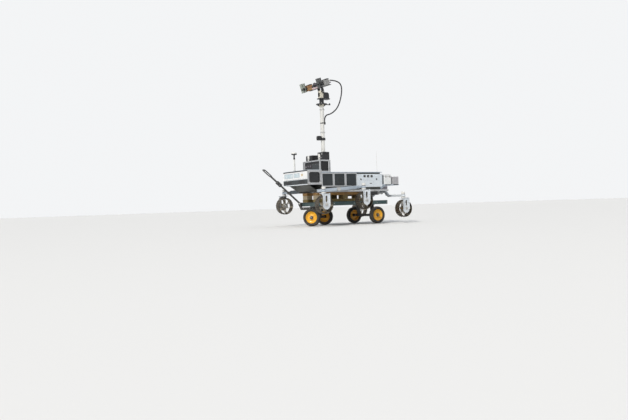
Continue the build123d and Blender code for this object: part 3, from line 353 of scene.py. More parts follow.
# light, dark and stain
timbers = {
    "timberOrange": ((0.52, 0.31, 0.12), (0.36, 0.19, 0.065), (0.2, 0.13, 0.07)),
    "timberOlive": ((0.4, 0.29, 0.11), (0.26, 0.185, 0.07), (0.16, 0.12, 0.06)),
    # pale copy of the same timber: painted sunlight, used on the front block
    "timberCream": ((0.7, 0.6, 0.42), (0.55, 0.44, 0.28), (0.36, 0.29, 0.19)),
}
for name, (colour, tone, rough, grain, dust, changes) in finishes.items():
    makeFinish(name, colour=colour, tone=tone, rough=rough, grain=grain, dust=dust, **changes)
for name, values in clearSheets.items():
    makeClear(name, *values)
for name, values in timbers.items():
    makeWood(name, *values)
print("finishes made")

# surfaces on grids of points
xAxis, yAxis, zAxis, rearward, downward = (1, 0, 0), (0, 1, 0), (0, 0, 1), (-1, 0, 0), (0, 0, -1)


def axesAlong(direction):
    # three square axes, the last along the direction
    axis = np.array(direction, float)
    axis = axis / np.linalg.norm(axis)
    helper = np.array([0.0, 0.0, 1.0]) if abs(axis[2]) < 0.9 else np.array([1.0, 0.0, 0.0])
    across = np.cross(helper, axis)
    across = across / np.linalg.norm(across)
    return across, np.cross(axis, across), axis


def surface(points, closeRows=False, closeColumns=True, caps=(False, False), paint=0):
    # grid of points [row, column]: quads join neighbours, and a cap closes the first or the last row
    points = np.asarray(points, float)
    rowCount, columnCount = points.shape[:2]
    i = np.arange(rowCount if closeRows else rowCount - 1)[:, None]
    j = np.arange(columnCount if closeColumns else columnCount - 1)[None, :]
    up, on = (i + 1) % rowCount, (j + 1) % columnCount
    quads = np.stack([i * columnCount + j, i * columnCount + on, up * columnCount + on, up * columnCount + j],
            -1)
    faces = [quads.reshape(-1, 4)]
    if caps[0]:
        faces.append(np.arange(columnCount)[None, ::-1])
    if caps[1]:
        faces.append((rowCount - 1) * columnCount + np.arange(columnCount)[None, :])
    return {"points": points.reshape(-1, 3), "faces": faces, "paint": paint}


def turned(profile, base, along, sides=32, paint=0, closed=False):
    # surface of revolution: at angle a, point = base + radius * (cos a, sin a) + height * axis
    profile = np.array(profile, float)
    across, up, axis = axesAlong(along)
    angle = np.arange(sides) / sides * 2 * pi
    ring = np.cos(angle)[:, None] * across + np.sin(angle)[:, None] * up
    points = np.array(base) + profile[:, :1, None] * ring + profile[:, 1, None, None] * axis
    return surface(points, closeRows=closed, caps=(not closed, not closed), paint=paint)


def roundedLoop(halfU, halfV, corner, steps=3):
    # rectangle with quarter circles at its corners, counter-clockwise
    corner = min(corner, halfU * 0.98, halfV * 0.98)
    angle = np.concatenate([np.linspace(0, pi / 2, steps + 1) + k * pi / 2 for k in range(4)])
    signU = np.repeat([1, -1, -1, 1], steps + 1)
    signV = np.repeat([1, 1, -1, -1], steps + 1)
    return np.stack([signU * (halfU - corner) + corner * np.cos(angle),
            signV * (halfV - corner) + corner * np.sin(angle)], -1)


def prism(start, end, halfU, halfV, corner=0.003, edge=0.0012, paint=0, steps=3, level=None):
    # rounded bar: its loop shrinks along a quarter circle near both ends
    start, end = np.array(start, float), np.array(end, float)
    length = np.linalg.norm(end - start)
    across, up, axis = axesAlong(end - start)
    if level is not None:
        across = np.array(level, float)
        up = np.cross(axis, across)
    edge = min(edge, length * 0.4)
    phi = np.radians([90, 45, 0])
    inset = edge * (1 - np.cos(phi))
    rise = edge * (1 - np.sin(phi))
    stations = [(r, n) for r, n in zip(rise, inset)] + [(length - r, n) for r,
            n in zip(rise[::-1], inset[::-1])]
    rows = []
    for height, shrink in stations:
        loop = roundedLoop(halfU - shrink, halfV - shrink, max(corner - shrink, 0.0002), steps)
        rows.append(start + loop[:, :1] * across + loop[:, 1:] * up + height * axis)
    return surface(np.stack(rows), caps=(True, True), paint=paint)


def slab(x0, x1, y0, y1, z0, z1, corner=0.003, edge=0.0012, paint=0, along=2, steps=3):
    # rounded box between two corners, its largest radius about the axis with that number
    low = np.array([min(x0, x1), min(y0, y1), min(z0, z1)], float)
    high = np.array([max(x0, x1), max(y0, y1), max(z0, z1)], float)
    middle, half = (low + high) / 2, (high - low) / 2
    start, end = middle.copy(), middle.copy()
    start[along], end[along] = low[along], high[along]
    u, v = [(1, 2), (2, 0), (0, 1)][along]
    level = np.eye(3)[u]
    return prism(start, end, half[u], half[v], corner, edge, paint, steps, level)


def swept(section, path, paint=0, closed=False, caps=True, upward=zAxis):
    # profile carried along a path: at each point the section lies square to the path
    path = np.array(path, float)
    ahead = np.roll(path, -1, 0) - np.roll(path, 1, 0)
    if not closed:
        ahead[0], ahead[-1] = path[1] - path[0], path[-1] - path[-2]
    ahead = ahead / np.linalg.norm(ahead, axis=1)[:, None]
    across = np.cross(np.array(upward, float), ahead)
    across = across / np.maximum(np.linalg.norm(across, axis=1), 1e-9)[:, None]
    up = np.cross(ahead, across)
    section = np.array(section, float)
    points = path[:, None] + section[None, :, :1] * across[:, None] + section[None, :, 1:] * up[:, None]
    return surface(points, closeRows=closed, caps=(caps and not closed, caps and not closed), paint=paint)


def rays(count, start=0.0):
    # points of the unit circle, from the start angle on
    angle = np.arange(count) / count * 2 * pi + start
    return np.stack([np.cos(angle), np.sin(angle)], -1)


def onPlane(axis, u=0.0, v=0.0, side=1):
    # lays a loop of (u, v) pairs square to the axis with that number, at its depth times the side
    return lambda loop, depth: np.insert(loop + [u, v], axis, side * depth, 1)


def layers(rows, axis=1, paint=0, side=1):
    # outlines of (u, v) pairs, each at its own depth along the axis, joined and closed at both ends
    lift = onPlane(axis, side=side)
    return surface(np.stack([lift(np.array(loop), depth) for loop, depth in rows]), caps=(True, True),
            paint=paint)


def plate(outline, depths, axis=1, paint=0):
    # the same outline at every depth
    return layers([(outline, depth) for depth in depths], axis, paint)


def sheetRound(centre, low, high, count):
    # rays from the centre, and the rectangle that they meet, with the nearest points put on its corners
    ray = rays(count)
    centre, low, high = (np.array(value, float) for value in (centre, low, high))
    reach = (np.where(ray > 0, high - centre, centre - low) / np.maximum(np.abs(ray), 1e-9)).min(1)
    outer = centre + reach[:, None] * ray
    for corner in (high, (low[0], high[1]), low, (high[0], low[1])):
        outer[np.argmin(np.linalg.norm(outer - corner, axis=1))] = corner
    return ray, outer


def shifted(loop, distance):
    # closed loop moved along its outward normals
    ahead = np.roll(loop, -1, 0) - np.roll(loop, 1, 0)
    ahead = ahead / np.maximum(np.linalg.norm(ahead, axis=1), 1e-12)[:, None]
    return loop + distance * np.stack([ahead[:, 1], -ahead[:, 0]], -1)


def pierced(outer, inner, near, far, edge, lift, paint=0):
    # plate with one opening: eight rows round its rim, so that every edge has a small chamfer
    rows = [(outer, near + edge, 0), (outer, far - edge, 0), (outer, far, -edge), (inner, far, edge),
            (inner, far - edge, 0), (inner, near + edge, 0), (inner, near, edge), (outer, near, -edge)]
    return surface(np.stack([lift(shifted(loop, inset), depth) for loop, depth, inset in rows]),
            closeRows=True, paint=paint)


def web(outline, middle, half, paint=0, edge=0.0008):
    # flat plate square to y from its outline in (x, z), with small chamfers
    rows = [(shifted(outline, -edge), -half), (outline, edge - half), (outline, half - edge),
            (shifted(outline, -edge), half)]
    return layers([(loop, middle + depth) for loop, depth in rows], 1, paint)


def copies(patch, turns=None, moves=None):
    # the same patch turned by each matrix or moved by each step
    points = patch["points"]
    count = len(turns) if turns is not None else len(moves)
    many = np.repeat(points[None], count, 0)
    if turns is not None:
        many = np.einsum("nij,kj->nki", np.array(turns), points)
    if moves is not None:
        many = many + np.array(moves, float)[:, None]
    offsets = np.arange(count)[:, None, None] * len(points)
    faces = [(face[None] + offsets).reshape(-1, face.shape[1]) for face in patch["faces"]]
    return {"points": many.reshape(-1, 3), "faces": faces, "paint": patch["paint"]}


def turnMatrix(axis, degrees):
    # turn about one of the three axes
    c, s = cos(radians(degrees)), sin(radians(degrees))
    return np.array({"x": [[1, 0, 0], [0, c, -s], [0, s, c]], "y": [[c, 0, s], [0, 1, 0], [-s, 0, c]],
                     "z": [[c, -s, 0], [s, c, 0], [0, 0, 1]]}[axis])


def moved(patches, turn=None, to=(0, 0, 0), mirror=False):
    # patches mirrored in y, then turned, then moved
    done = []
    for patch in patches:
        points = patch["points"]
        if mirror:
            points = points * [1, -1, 1]
        if turn is not None:
            points = points @ np.array(turn).T
        done.append({**patch, "points": points + np.array(to, float)})
    return done


def bolts(places, direction, radius=0.004, paint=0, sides=6, height=None):
    # socket screws with a washer, one turned shape copied to every place
    high = height or radius * 1.1
    profile = [(1.55 * radius, 0), (1.55 * radius, 0.22 * high), (radius, 0.26 * high), (radius, 0.9 * high),
            (0.86 * radius, high), (0.5 * radius, high), (0.42 * radius, 0.55 * high)]
    one = turned(profile, (0, 0, 0), direction, sides, paint)
    return copies(one, moves=places)


def gridOf(*places):
    # every mix of the given x, y and z, each of them one number or several
    return np.stack(np.meshgrid(*places, indexing="ij"), -1).reshape(-1, 3)


def circleOf(centre, normal, radius, count, start=0.0):
    # places round a circle
    across, up, _ = axesAlong(normal)
    angle = np.arange(count) / count * 2 * pi + radians(start)
    return np.array(centre) + radius * (np.cos(angle)[:, None] * across + np.sin(angle)[:, None] * up)


def boltRing(centre, way, circle, count, start, radius, paint=0, height=None):
    # screws round a circle, standing along its axis
    return bolts(circleOf(centre, way, circle, count, start), way, radius, paint, height=height)


pieceCount = {"pieces": 0, "triangles": 0}


def addPiece(name, patches, paints, body="chassis", replaces=None, sharp=42):
    # one mesh from its patches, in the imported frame, with outward faces and face-weighted normals;
    # it stands for the node of its own name, written with underscores, unless others are given
    if replaces is None:
        replaces = ["".join("_" + letter.lower() if letter.isupper() else letter for letter in name)]
    points = np.concatenate([patch["points"] for patch in patches]) + roverOrigin
    faces, slots, start = [], [], 0
    for patch in patches:
        for block in patch["faces"]:
            faces.extend((block + start).tolist())
            slots.extend([patch["paint"]] * len(block))
        start += len(patch["points"])
    mesh = bpy.data.meshes.new(name)
    mesh.from_pydata(points.tolist(), [], faces)
    mesh.polygons.foreach_set("material_index", slots)
    mesh.polygons.foreach_set("use_smooth", [True] * len(faces))
    for finish in paints.split():
        mesh.materials.append(bpy.data.materials[finish])
    work = bmesh.new()
    work.from_mesh(mesh)
    bmesh.ops.recalc_face_normals(work, faces=work.faces)
    work.to_mesh(mesh)
    work.free()
    mesh.set_sharp_from_angle(angle=radians(sharp))
    piece = linked(name, mesh)
    weighted = piece.modifiers.new("weightedNormal", "WEIGHTED_NORMAL")
    weighted.keep_sharp = True
    if body:
        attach(piece, body)
    if replaces:
        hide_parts(*replaces)
    pieceCount["pieces"] += 1
    pieceCount["triangles"] += sum(len(face) - 2 for face in faces)
    return piece


# head cable, from the left camera down to the clip on the mast
headCable = {"points": [(0.34217, 0.25, 2.31348), (0.175, 0.25, 2.318), (0.102, 0.236, 2.19),
        (0.098, 0.11, 1.93), (0.19, 0.025, 1.815), (0.3155, 0.0, 1.79), (0.3155, 0.0, 1.68)],
        "diameter": 0.02, "sides": 16, "stillBelow": 1.69, "turnsAbove": 2.19, "splitHeight": 2.22}


def buildCable(look):
    # the route is one open NURBS spline with the listed points as its control points; the tube is a ring
    # carried along it, in two lengths, an upper and a lower
    points = look["points"]
    line = bpy.data.curves.new("cableRoute", "CURVE")
    line.dimensions = "3D"
    line.resolution_u = 20
    spline = line.splines.new("NURBS")
    spline.points.add(len(points) - 1)
    spline.points.foreach_set("co", np.column_stack([points, np.ones(len(points))]).ravel())
    spline.order_u = 3
    spline.use_endpoint_u = True
    guide = linked("cableRoute", line)
    bpy.context.view_layer.update()
    walked = bpy.data.meshes.new_from_object(guide.evaluated_get(bpy.context.evaluated_depsgraph_get()))
    route = np.array([v.co for v in walked.vertices])
    bpy.data.objects.remove(guide)
    bpy.data.curves.remove(line)
    bpy.data.meshes.remove(walked)
    ring = rays(look["sides"]) * look["diameter"] / 2
    places = route + roverOrigin
    split = int(np.argmax(places[:, 2] < look["splitHeight"]))
    foot, seam, top = places[-1], places[split], places[0]
    lengths = {"headCable": (slice(0, split + 2), ("pan_yoke", "head"), seam, top, top),
            "headCableLow": (slice(split - 1, None), ("chassis", "pan_yoke"), (*foot[:2], look["stillBelow"]),
            (*foot[:2], look["turnsAbove"]), foot)}
    for name, (span, bodies, still, moves, leaves) in lengths.items():
        replaced = ["head_cable"] if name == "headCable" else []
        cable = addPiece(name, [swept(ring, route[span], upward=yAxis)], "cableRubber", body=None,
                replaces=replaced)
        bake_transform(cable)


buildCable(headCable)

# flexible metal wheels
wheel = {"rim": 0.135, "wall": 0.003, "halfWidth": 0.055, "cleats": 24, "cleatHeight": 0.0075,
        "cleatFoot": 0.0062, "cleatTip": 0.0036, "springs": 6, "strap": 0.0236, "strapPitch": 0.0302,
        "bow": 0.028, "spring": 0.0026, "hub": 0.036, "hubHalf": 0.048, "axle": 0.01}
wheelPlaces = {"front_left": (0.767, 1, 0.335), "front_right": (0.767, -1, 0.335),
        "middle_left": (0.02, 1, 0.385), "middle_right": (0.02, -1, 0.385), "rear_left": (-0.767, 1, 0.235),
        "rear_right": (-0.767, -1, 0.235)}
halfTrack = 0.62


def flexibleWheel(look):
    # rim band turned round the axle at the origin, its cleats and springs copied round it, and the hub
    springs = look["springs"]
    rim, half, wall = look["rim"], look["halfWidth"], look["wall"]
    band = [(rim, -half + 0.006), (rim + 0.0006, 0), (rim, half - 0.006), (rim - 0.0012, half - 0.0015),
            (rim - 0.0045, half), (rim - 0.0075, half - 0.0022), (rim - 0.0066, half - 0.0052),
            (rim - wall, half - 0.0075), (rim - wall, -half + 0.0075), (rim - 0.0066, -half + 0.0052),
            (rim - 0.0075, -half + 0.0022), (rim - 0.0045, -half), (rim - 0.0012, -half + 0.0015)]
    parts = [turned(band, (0, 0, 0), yAxis, sides=96, closed=True)]
    # cleat: a tapered bar across the tread whose ends drop to the rim
    across = np.linspace(-1, 1, 15)
    share = np.clip((1 - np.abs(across)) / 0.16, 0, 1) ** 0.5
    high = look["cleatHeight"] * (0.25 + 0.75 * share) - 0.0003
    foot, tip = look["cleatFoot"] / 2, look["cleatTip"] / 2
    sway = 0.0035 * np.cos(across * pi)
    grid = np.array([[(rim - 0.001, -foot), (rim - 0.001, foot), (rim + h - 0.001, tip + 0.0004),
            (rim + h, tip - 0.0006), (rim + h, 0.0006 - tip), (rim + h - 0.001, -tip - 0.0004)]
            for h in high])
    points = np.stack([grid[..., 0], np.repeat(across[:, None] * (half - 0.0008), 6, 1),
            grid[..., 1] + sway[:, None]], -1)
    parts.append(copies(surface(points, caps=(True, True)), turns=[turnMatrix("y", 360 / look["cleats"] * k)
            for k in range(look["cleats"])]))
    # leaf springs: bowed straps in rows of three, height = bow * (1 - (2s - 1)^4), s from hub to rim
    s = np.linspace(0, 1, 25)
    inner, outer = look["hub"] - 0.002, rim - wall - 0.0005
    reach = inner + s * (outer - inner)
    lift = look["bow"] * (1 - (2 * s - 1) ** 4)
    slope = np.gradient(lift, reach)
    square = np.stack([-slope, np.ones_like(slope)], -1) / np.sqrt(1 + slope ** 2)[:, None]
    thick = look["spring"] / 2
    above = np.stack([reach, lift], -1) + square * thick
    below = np.stack([reach, lift], -1) - square * thick
    w = look["strap"] / 2
    waist = w * (1 - 0.16 * np.sin(pi * s))
    strap = np.stack([np.column_stack([face[:, 0], way * waist, face[:, 1]]) for face, way in
                      ((above, -1), (above, 1), (below, 1), (below, -1))], 1)
    around = [turnMatrix("y", 360 / springs * k) for k in range(springs)]
    turns = np.repeat(around, 3, 0)
    moves = [(0, row * look["strapPitch"], 0) for row in (-1, 0, 1)] * springs
    parts.append(copies(surface(strap, caps=(True, True), paint=1), turns=turns, moves=moves))
    # feet of the springs: clamp bars under the rim and on the hub
    for turn in around:
        feet = [slab(rim - wall - 0.0065, rim - wall + 0.0006, -0.044, 0.044, -0.011, 0.011, 0.0015, 0.0008,
                1, along=1), slab(look["hub"] - 0.004, look["hub"] + 0.004, -0.043, 0.043, -0.01, 0.01,
                0.0015, 0.0008, 1, along=1), bolts(gridOf(rim - wall - 0.0065, (-0.03, 0, 0.03),
                (-0.0065, 0.0065)), rearward, 0.0023, 2), bolts(gridOf(look["hub"] + 0.004, (-0.03, 0, 0.03),
                (-0.006, 0.006)), xAxis, 0.0021, 2)]
        parts += moved(feet, turn)
    bore = look["axle"] + 0.0002
    hubHalf = look["hubHalf"]
    hub = [(bore, -hubHalf), (0.019, -hubHalf), (0.021, -hubHalf + 0.003), (0.029, -hubHalf + 0.005),
           (0.033, -hubHalf + 0.006), (0.0335, -hubHalf + 0.012), (0.0335, hubHalf - 0.012),
           (0.033, hubHalf - 0.006), (0.029, hubHalf - 0.005), (0.021, hubHalf - 0.003), (0.019, hubHalf),
           (bore, hubHalf)]
    parts.append(turned(hub, (0, 0, 0), yAxis, sides=48, closed=True, paint=3))
    for side in (-1, 1):
        parts.append(turned([(0.0215, 0), (0.0365, 0), (0.0375, 0.001), (0.0375, 0.004), (0.0365, 0.005),
                (0.0215, 0.005)], (0, side * (hubHalf - 0.005) - 0.0025, 0), yAxis, sides=48, closed=True,
                paint=3))
        parts.append(boltRing((0, side * (hubHalf - 0.0025), 0), (0, side, 0), 0.03, 6, 30, 0.0026, 2))
    return parts


oneWheel = flexibleWheel(wheel)
for name, (x, side, z) in wheelPlaces.items():
    addPiece("flexibleWheel_" + name, moved(oneWheel, turnMatrix("y", 7 * x * 10), (x, side * halfTrack, z)),
            "wheelBronze springSteel boltZinc machinedSilver", body="wheel_" + name,
            replaces=["wheel_" + name])
print("wheels built")

# wheel brackets: slotted outboard plate with turned edges, top plate, axle and steering shaft
bracket = {"half": 0.062, "top": 0.1705, "drop": 0.012, "near": 0.066, "far": 0.074, "slotHalf": 0.017,
        "slotLow": 0.038, "slotLength": 0.096, "flange": 0.012, "flangeWall": 0.005, "shaft": 0.011,
        "axle": 0.01}


def wheelBracket(look):
    # plate = half circle under the axle and straight sides up to the top plate, pierced by the slot
    shaft = look["shaft"]
    half, top, drop, near, far = look["half"], look["top"], look["drop"], look["near"], look["far"]
    bottom = np.linspace(-pi, 0, 41)
    side = np.linspace(0, 1, 14)[1:-1]
    across = np.linspace(0, 1, 22)[1:-1]
    outer = np.concatenate([np.stack([half * np.cos(bottom), -drop + half * np.sin(bottom)], -1),
                            np.stack([np.full(12, half), -drop + side * (top + drop)], -1), [(half, top)],
                            np.stack([half - across * 2 * half, np.full(20, top)], -1), [(-half, top)],
                            np.stack([np.full(12, -half), top - side * (top + drop)], -1)])
    r = look["slotHalf"]
    low, high = look["slotLow"] + r, look["slotLow"] + look["slotLength"] - r
    arc = np.linspace(0, pi, 22)
    inner = np.concatenate([np.stack([r * np.cos(bottom), low + r * np.sin(bottom)], -1),
                            np.stack([np.full(12, r), low + side * (high - low)], -1),
                            np.stack([r * np.cos(arc), high + r * np.sin(arc)], -1),
                            np.stack([np.full(12, -r), high - side * (high - low)], -1)])

    parts = [pierced(outer, inner, near, far, 0.001, onPlane(1))]
    # raised lip round the slot
    parts.append(pierced(shifted(inner, 0.0045), shifted(inner, 0.0002), far - 0.001, far + 0.0022, 0.0007,
            onPlane(1)))
    for s in (-1, 1):
        parts.append(slab(s * half, s * (half - look["flangeWall"]), near, far + look["flange"], -drop, top,
                0.0018))
        parts.append(bolts(gridOf(s * (half - 0.012), far, (0.015, 0.085, 0.15)), yAxis, 0.0032, 1))
    parts.append(slab(-half, half, -0.033, far, top - 0.008, top, 0.012, 0.001))
    for s in (-1, 1):
        gusset = [(near, top - 0.008), (near, top - 0.04), (near - 0.004, top - 0.04), (0.022, top - 0.008)]
        parts.append(plate(gusset, [s * (half - 0.006) + t for t in (-0.0025, 0.0025)], 0))
    parts.append(boltRing((0, 0, top), zAxis, 0.0285, 4, 45, 0.0036, 1, height=0.0012))
    parts.append(turned([(shaft, 0), (shaft, 0.034), (shaft - 0.001, 0.036)], (0, 0, top), zAxis, 32, 2))
    # axle with its boss, flange screws and nuts
    axle = look["axle"]
    parts.append(turned([(axle - 0.001, -0.054), (axle, -0.053), (axle, far), (axle, far + 0.001)], (0, 0, 0),
            yAxis, 32, 2))
    parts.append(turned([(0.024, 0), (0.0265, 0.0008), (0.0265, 0.0045), (0.0245, 0.0062), (0.017, 0.0066)],
            (0, far, 0), yAxis, 48, 2))
    parts.append(turned([(0.0245, 0), (0.0245, -0.0095), (0.02, -0.0105)], (0, near, 0), yAxis, 40, 2))
    parts.append(boltRing((0, far + 0.0045, 0), yAxis, 0.0215, 6, 0, 0.0019, 1))
    parts.append(turned([(0.0105, 0), (0.0115, 0.001), (0.0115, 0.0042), (0.01, 0.0052)],
            (0, far + 0.0062, 0), yAxis, 6, 1))
    return parts


oneBracket = wheelBracket(bracket)
for name, (x, side, z) in wheelPlaces.items():
    addPiece("wheelBracket_" + name, moved(oneBracket, to=(x, side * halfTrack, z), mirror=side < 0),
            "plateSilver boltZinc machinedSilver", body="steer_" + name, replaces=["bracket_" + name])
print("brackets built")

# steering drives: white gearbox ring, black motor can with ribs and a white cap
drive = {"base": 0.172, "ring": 0.0345, "ringHeight": 0.018, "can": 0.0298, "canHeight": 0.082,
        "bore": 0.0112}


def steeringDrive(look):
    # three turned shapes on one axis, with their screws
    base, ring, can = look["base"], look["ring"], look["can"]
    low, high = look["ringHeight"], look["ringHeight"] + look["canHeight"]
    parts = [turned([(look["bore"], 0), (ring - 0.001, 0), (ring, 0.001), (ring, low - 0.0012),
            (ring - 0.0012, low), (0.024, low), (0.024, 0.012), (look["bore"], 0.012)], (0, 0, base), zAxis,
            48, closed=True)]
    ribs = []
    for k in range(8):
        z = low + 0.004 + k * 0.0042
        ribs += [(can - 0.0022, z), (can - 0.0002, z + 0.0005), (can - 0.0002, z + 0.0022),
                (can - 0.0022, z + 0.0027)]
    body = [(can - 0.003, low - 0.001), (can - 0.0022, low + 0.003)] + ribs + [(can - 0.0022, high - 0.034),
            (can - 0.003, high - 0.033)]
    parts.append(turned(body, (0, 0, base), zAxis, 48, 1))
    cap = [(can - 0.0004, high - 0.036), (can, high - 0.0352), (can, high - 0.004),
           (can - 0.004, high - 0.0002), (can - 0.007, high)]
    parts.append(turned(cap, (0, 0, base), zAxis, 48))
    parts.append(boltRing((0, 0, base + low), zAxis, 0.0318, 8, 22.5, 0.0016, 2, height=0.0014))
    parts.append(boltRing((0, 0, base + high), zAxis, 0.0165, 4, 45, 0.0018, 2, height=0.0001))
    return parts


oneDrive = steeringDrive(drive)
for name, (x, side, z) in wheelPlaces.items():
    lead = moved([turned([(0.0062, 0), (0.007, 0.001), (0.007, 0.006), (0.0052, 0.007), (0.0052, 0.013),
            (0.0042, 0.014)], (0, 0, 0), (0, -side, 0), 16, 3)], None,
            (0.0, -side * 0.0288, drive["base"] + 0.089))
    addPiece("steeringDrive_" + name, moved(oneDrive + lead, None, (x, side * halfTrack, z)),
            "whitePlastic driveBlack boltZinc connectorMetal",
            replaces=["steering_drives"] if name == "front_left" else ())
print("steering drives built")


def slottedSection(size):
    # aluminium profile: each side has a slot with lips and a wider channel behind them
    h, o, lip, c, depth = size / 2, size * 0.136, size * 0.065, size * 0.27, size * 0.3
    side = np.array([(h, 0.04 * size - h), (h, -o), (h - lip, -o), (h - lip, -c), (h - lip * 2, -c),
            (h - depth, -o * 0.9), (h - depth, o * 0.9), (h - lip * 2, c), (h - lip, c), (h - lip, o), (h, o),
            (h, h - 0.04 * size)])
    turns = [np.array([[cos(a), -sin(a)], [sin(a), cos(a)]]) for a in (0, pi / 2, pi, 3 * pi / 2)]
    return np.concatenate([side @ turn.T for turn in turns])


def profileBar(start, end, size=0.03, paint=0):
    # the slotted section carried straight from one end to the other
    across, up, _ = axesAlong(np.array(end, float) - np.array(start, float))
    section = slottedSection(size)
    flat = section[:, :1] * across + section[:, 1:] * up
    return surface(np.stack([np.array(start) + flat, np.array(end) + flat]), caps=(True, True), paint=paint)


def cornerPlate(centre, normal, size, paint=0):
    # square joining plate
    return prism(centre, np.array(centre) + np.array(normal, float) * 0.004, size / 2, size / 2, 0.003, 0.001,
            paint)


# chassis rails under the belly, with the seats of the side bogies and the rear bogie's block
rails = {"outer": 0.36, "height": 0.545, "rear": -0.67, "front": 0.64, "size": 0.03,
        "cross": (-0.655, -0.399, 0.02, 0.439), "pivot": 0.3935, "seat": 0.034, "seatTop": 0.606,
        "blockRear": -0.706, "blockLow": 0.477, "blockTop": 0.622}


def buildRails(look):
    # two long rails, cross rails between them, seats and the rear block
    outer = look["outer"]
    size, z = look["size"], look["height"]
    y = outer - size / 2
    parts = [profileBar((look["rear"], s * y, z), (look["front"], s * y, z), size) for s in (-1, 1)]
    parts += [profileBar((x, -y + size / 2, z), (x, y - size / 2, z), size) for x in look["cross"]]
    for s in (-1, 1):
        x, half = look["pivot"], look["seat"]
        parts.append(slab(x - half, x + half, s * 0.3302, s * 0.36, z + size / 2 - 0.0002, look["seatTop"],
                0.002, 0.001, 1))
        parts.append(bolts([(x + dx, s * 0.36, zz) for dx in (-0.026, 0.026) for zz in (0.568, 0.598)],
                (0, s, 0), 0.0036, 2))
        for cross in look["cross"]:
            parts.append(cornerPlate((cross, s * outer, z), (0, s, 0), 0.026, 1))
            parts.append(bolts([(cross - 0.007, s * (outer + 0.004), z),
                    (cross + 0.007, s * (outer + 0.004), z)], (0, s, 0), 0.0034, 2, height=0.0026))
    parts.append(slab(look["blockRear"], look["rear"], -0.06, 0.06, look["blockLow"], look["blockTop"], 0.003,
            0.0015, 1))
    parts.append(bolts(gridOf(look["blockRear"], (-0.05, 0.05), (0.486, 0.552, 0.612)), rearward, 0.004, 2))
    addPiece("chassisRails", parts, "profileSilver machinedSilver boltZinc")


buildRails(rails)

# bogies: box beams with bolted outboard arms, the drives' clamps and the pivots
bogie = {"beamY": 0.452, "beamWide": 0.036, "beamHigh": 0.052, "armWide": 0.044, "armHigh": 0.034,
        "tip": 0.596, "level": 0.212, "pivotX": 0.3935, "pivotRadius": 0.034, "cap": 0.016, "frontX": 0.767,
        "frontZ": 0.335, "middleX": 0.02, "middleZ": 0.385}


def driveClamp(place):
    # ring round the drive
    ring = [(0.0305, -0.0165), (0.0345, -0.016), (0.035, -0.015), (0.035, 0.015), (0.0345, 0.016),
            (0.0305, 0.0165)]
    return turned(ring, place, zAxis, 48, closed=True)


def pocketRim(halfX, halfY, corner, x, y, z):
    # milled pocket, shown as a low rim round its loop
    loop = roundedLoop(halfX, halfY, corner, 5)
    return pierced(shifted(loop, 0.0025), loop, 0.0, 0.0011, 0.0003, lambda ring,
            depth: np.insert(ring + [x, y], 2, z + depth, 1))


def buildSideBogie(look, name, side):
    # beam straight from the front drive to the middle one, an arm out to each, and the pivot
    armHigh, beamY = look["armHigh"], look["beamY"]
    frontPoint = np.array([look["frontX"], side * beamY, look["frontZ"] + look["level"]])
    middlePoint = np.array([look["middleX"], side * beamY, look["middleZ"] + look["level"]])
    run = (middlePoint - frontPoint) / np.linalg.norm(middlePoint - frontPoint)
    half = look["armWide"] / 2
    start, end = frontPoint - run * half, middlePoint + run * half
    parts = [prism(start, end, look["beamWide"] / 2, look["beamHigh"] / 2, 0.005, 0.0015)]
    # end caps and the seams of the beam's two bolted joints
    for point, way in ((start, -run), (end, run)):
        parts.append(prism(point - way * 0.001, point + way * 0.0008, 0.016, 0.024, 0.004, 0.0006, 3))
    for x, z in ((look["frontX"], frontPoint[2]), (look["middleX"], middlePoint[2])):
        a, b = side * beamY, side * look["tip"]
        parts.append(prism((x, a, z), (x, b, z), look["armWide"] / 2, armHigh / 2, 0.004, 0.001, level=xAxis))
        parts.append(driveClamp((x, side * halfTrack, z)))
        parts.append(slab(x - 0.022, x + 0.022, side * (beamY + 0.019), side * (beamY + 0.025), z - 0.021,
                z + 0.021, 0.003, 0.001, along=1))
        parts.append(bolts([(x + dx, side * (beamY + 0.025), z + dz) for dx in (-0.017, 0.017)
                for dz in (-0.0185, 0.0185)], (0, side, 0), 0.0022, 1))
        parts.append(bolts([(x + dx, side * y, z + armHigh / 2) for dx in (-0.014, 0.014)
                for y in (0.5, 0.578)], zAxis, 0.003, 1))
        parts.append(pocketRim(0.012, 0.026, 0.01, x, side * 0.539, z + armHigh / 2))
    # pivot: barrel from the seat out to the beam's cap
    z = (frontPoint[2] + middlePoint[2]) / 2
    radius = look["pivotRadius"]
    outerY = beamY + look["beamWide"] / 2 + look["cap"]
    barrel = [(radius - 0.002, 0.3602), (radius, 0.362), (radius, 0.372), (radius - 0.006, 0.374),
            (radius - 0.006, 0.43), (radius, 0.432), (radius, outerY - 0.006),
            (radius - 0.003, outerY - 0.001), (radius - 0.008, outerY), (0.016, outerY),
            (0.014, outerY - 0.003)]
    parts.append(turned(barrel, (look["pivotX"], 0, z), (0, side, 0), 48, 2))
    parts.append(boltRing((look["pivotX"], side * outerY, z), (0, side, 0), 0.0215, 6, 0, 0.0026, 1,
            height=0.0004))
    # cable ducts clipped on top of the beam
    duct = [(frontPoint + run * t * np.linalg.norm(middlePoint - frontPoint)) + [0, 0,
            look["beamHigh"] / 2 + 0.004 + 0.0012 * sin(9 * t)] for t in np.linspace(0.03, 0.97, 24)]
    parts.append(swept(0.0045 * rays(10), duct, paint=3))
    for t in (0.12, 0.36, 0.64, 0.88):
        middle = frontPoint + (middlePoint - frontPoint) * t
        parts.append(slab(middle[0] - 0.004, middle[0] + 0.004, middle[1] - 0.0185, middle[1] + 0.0185,
                middle[2] + 0.0255, middle[2] + 0.0285, 0.001, 0.0006, 3))
    addPiece(name, parts, "sheetSilver boltZinc machinedSilver boltBlack",
            replaces=[{1: "bogie_left", -1: "bogie_right"}[side]])


buildSideBogie(bogie, "sideBogie_left", 1)
buildSideBogie(bogie, "sideBogie_right", -1)

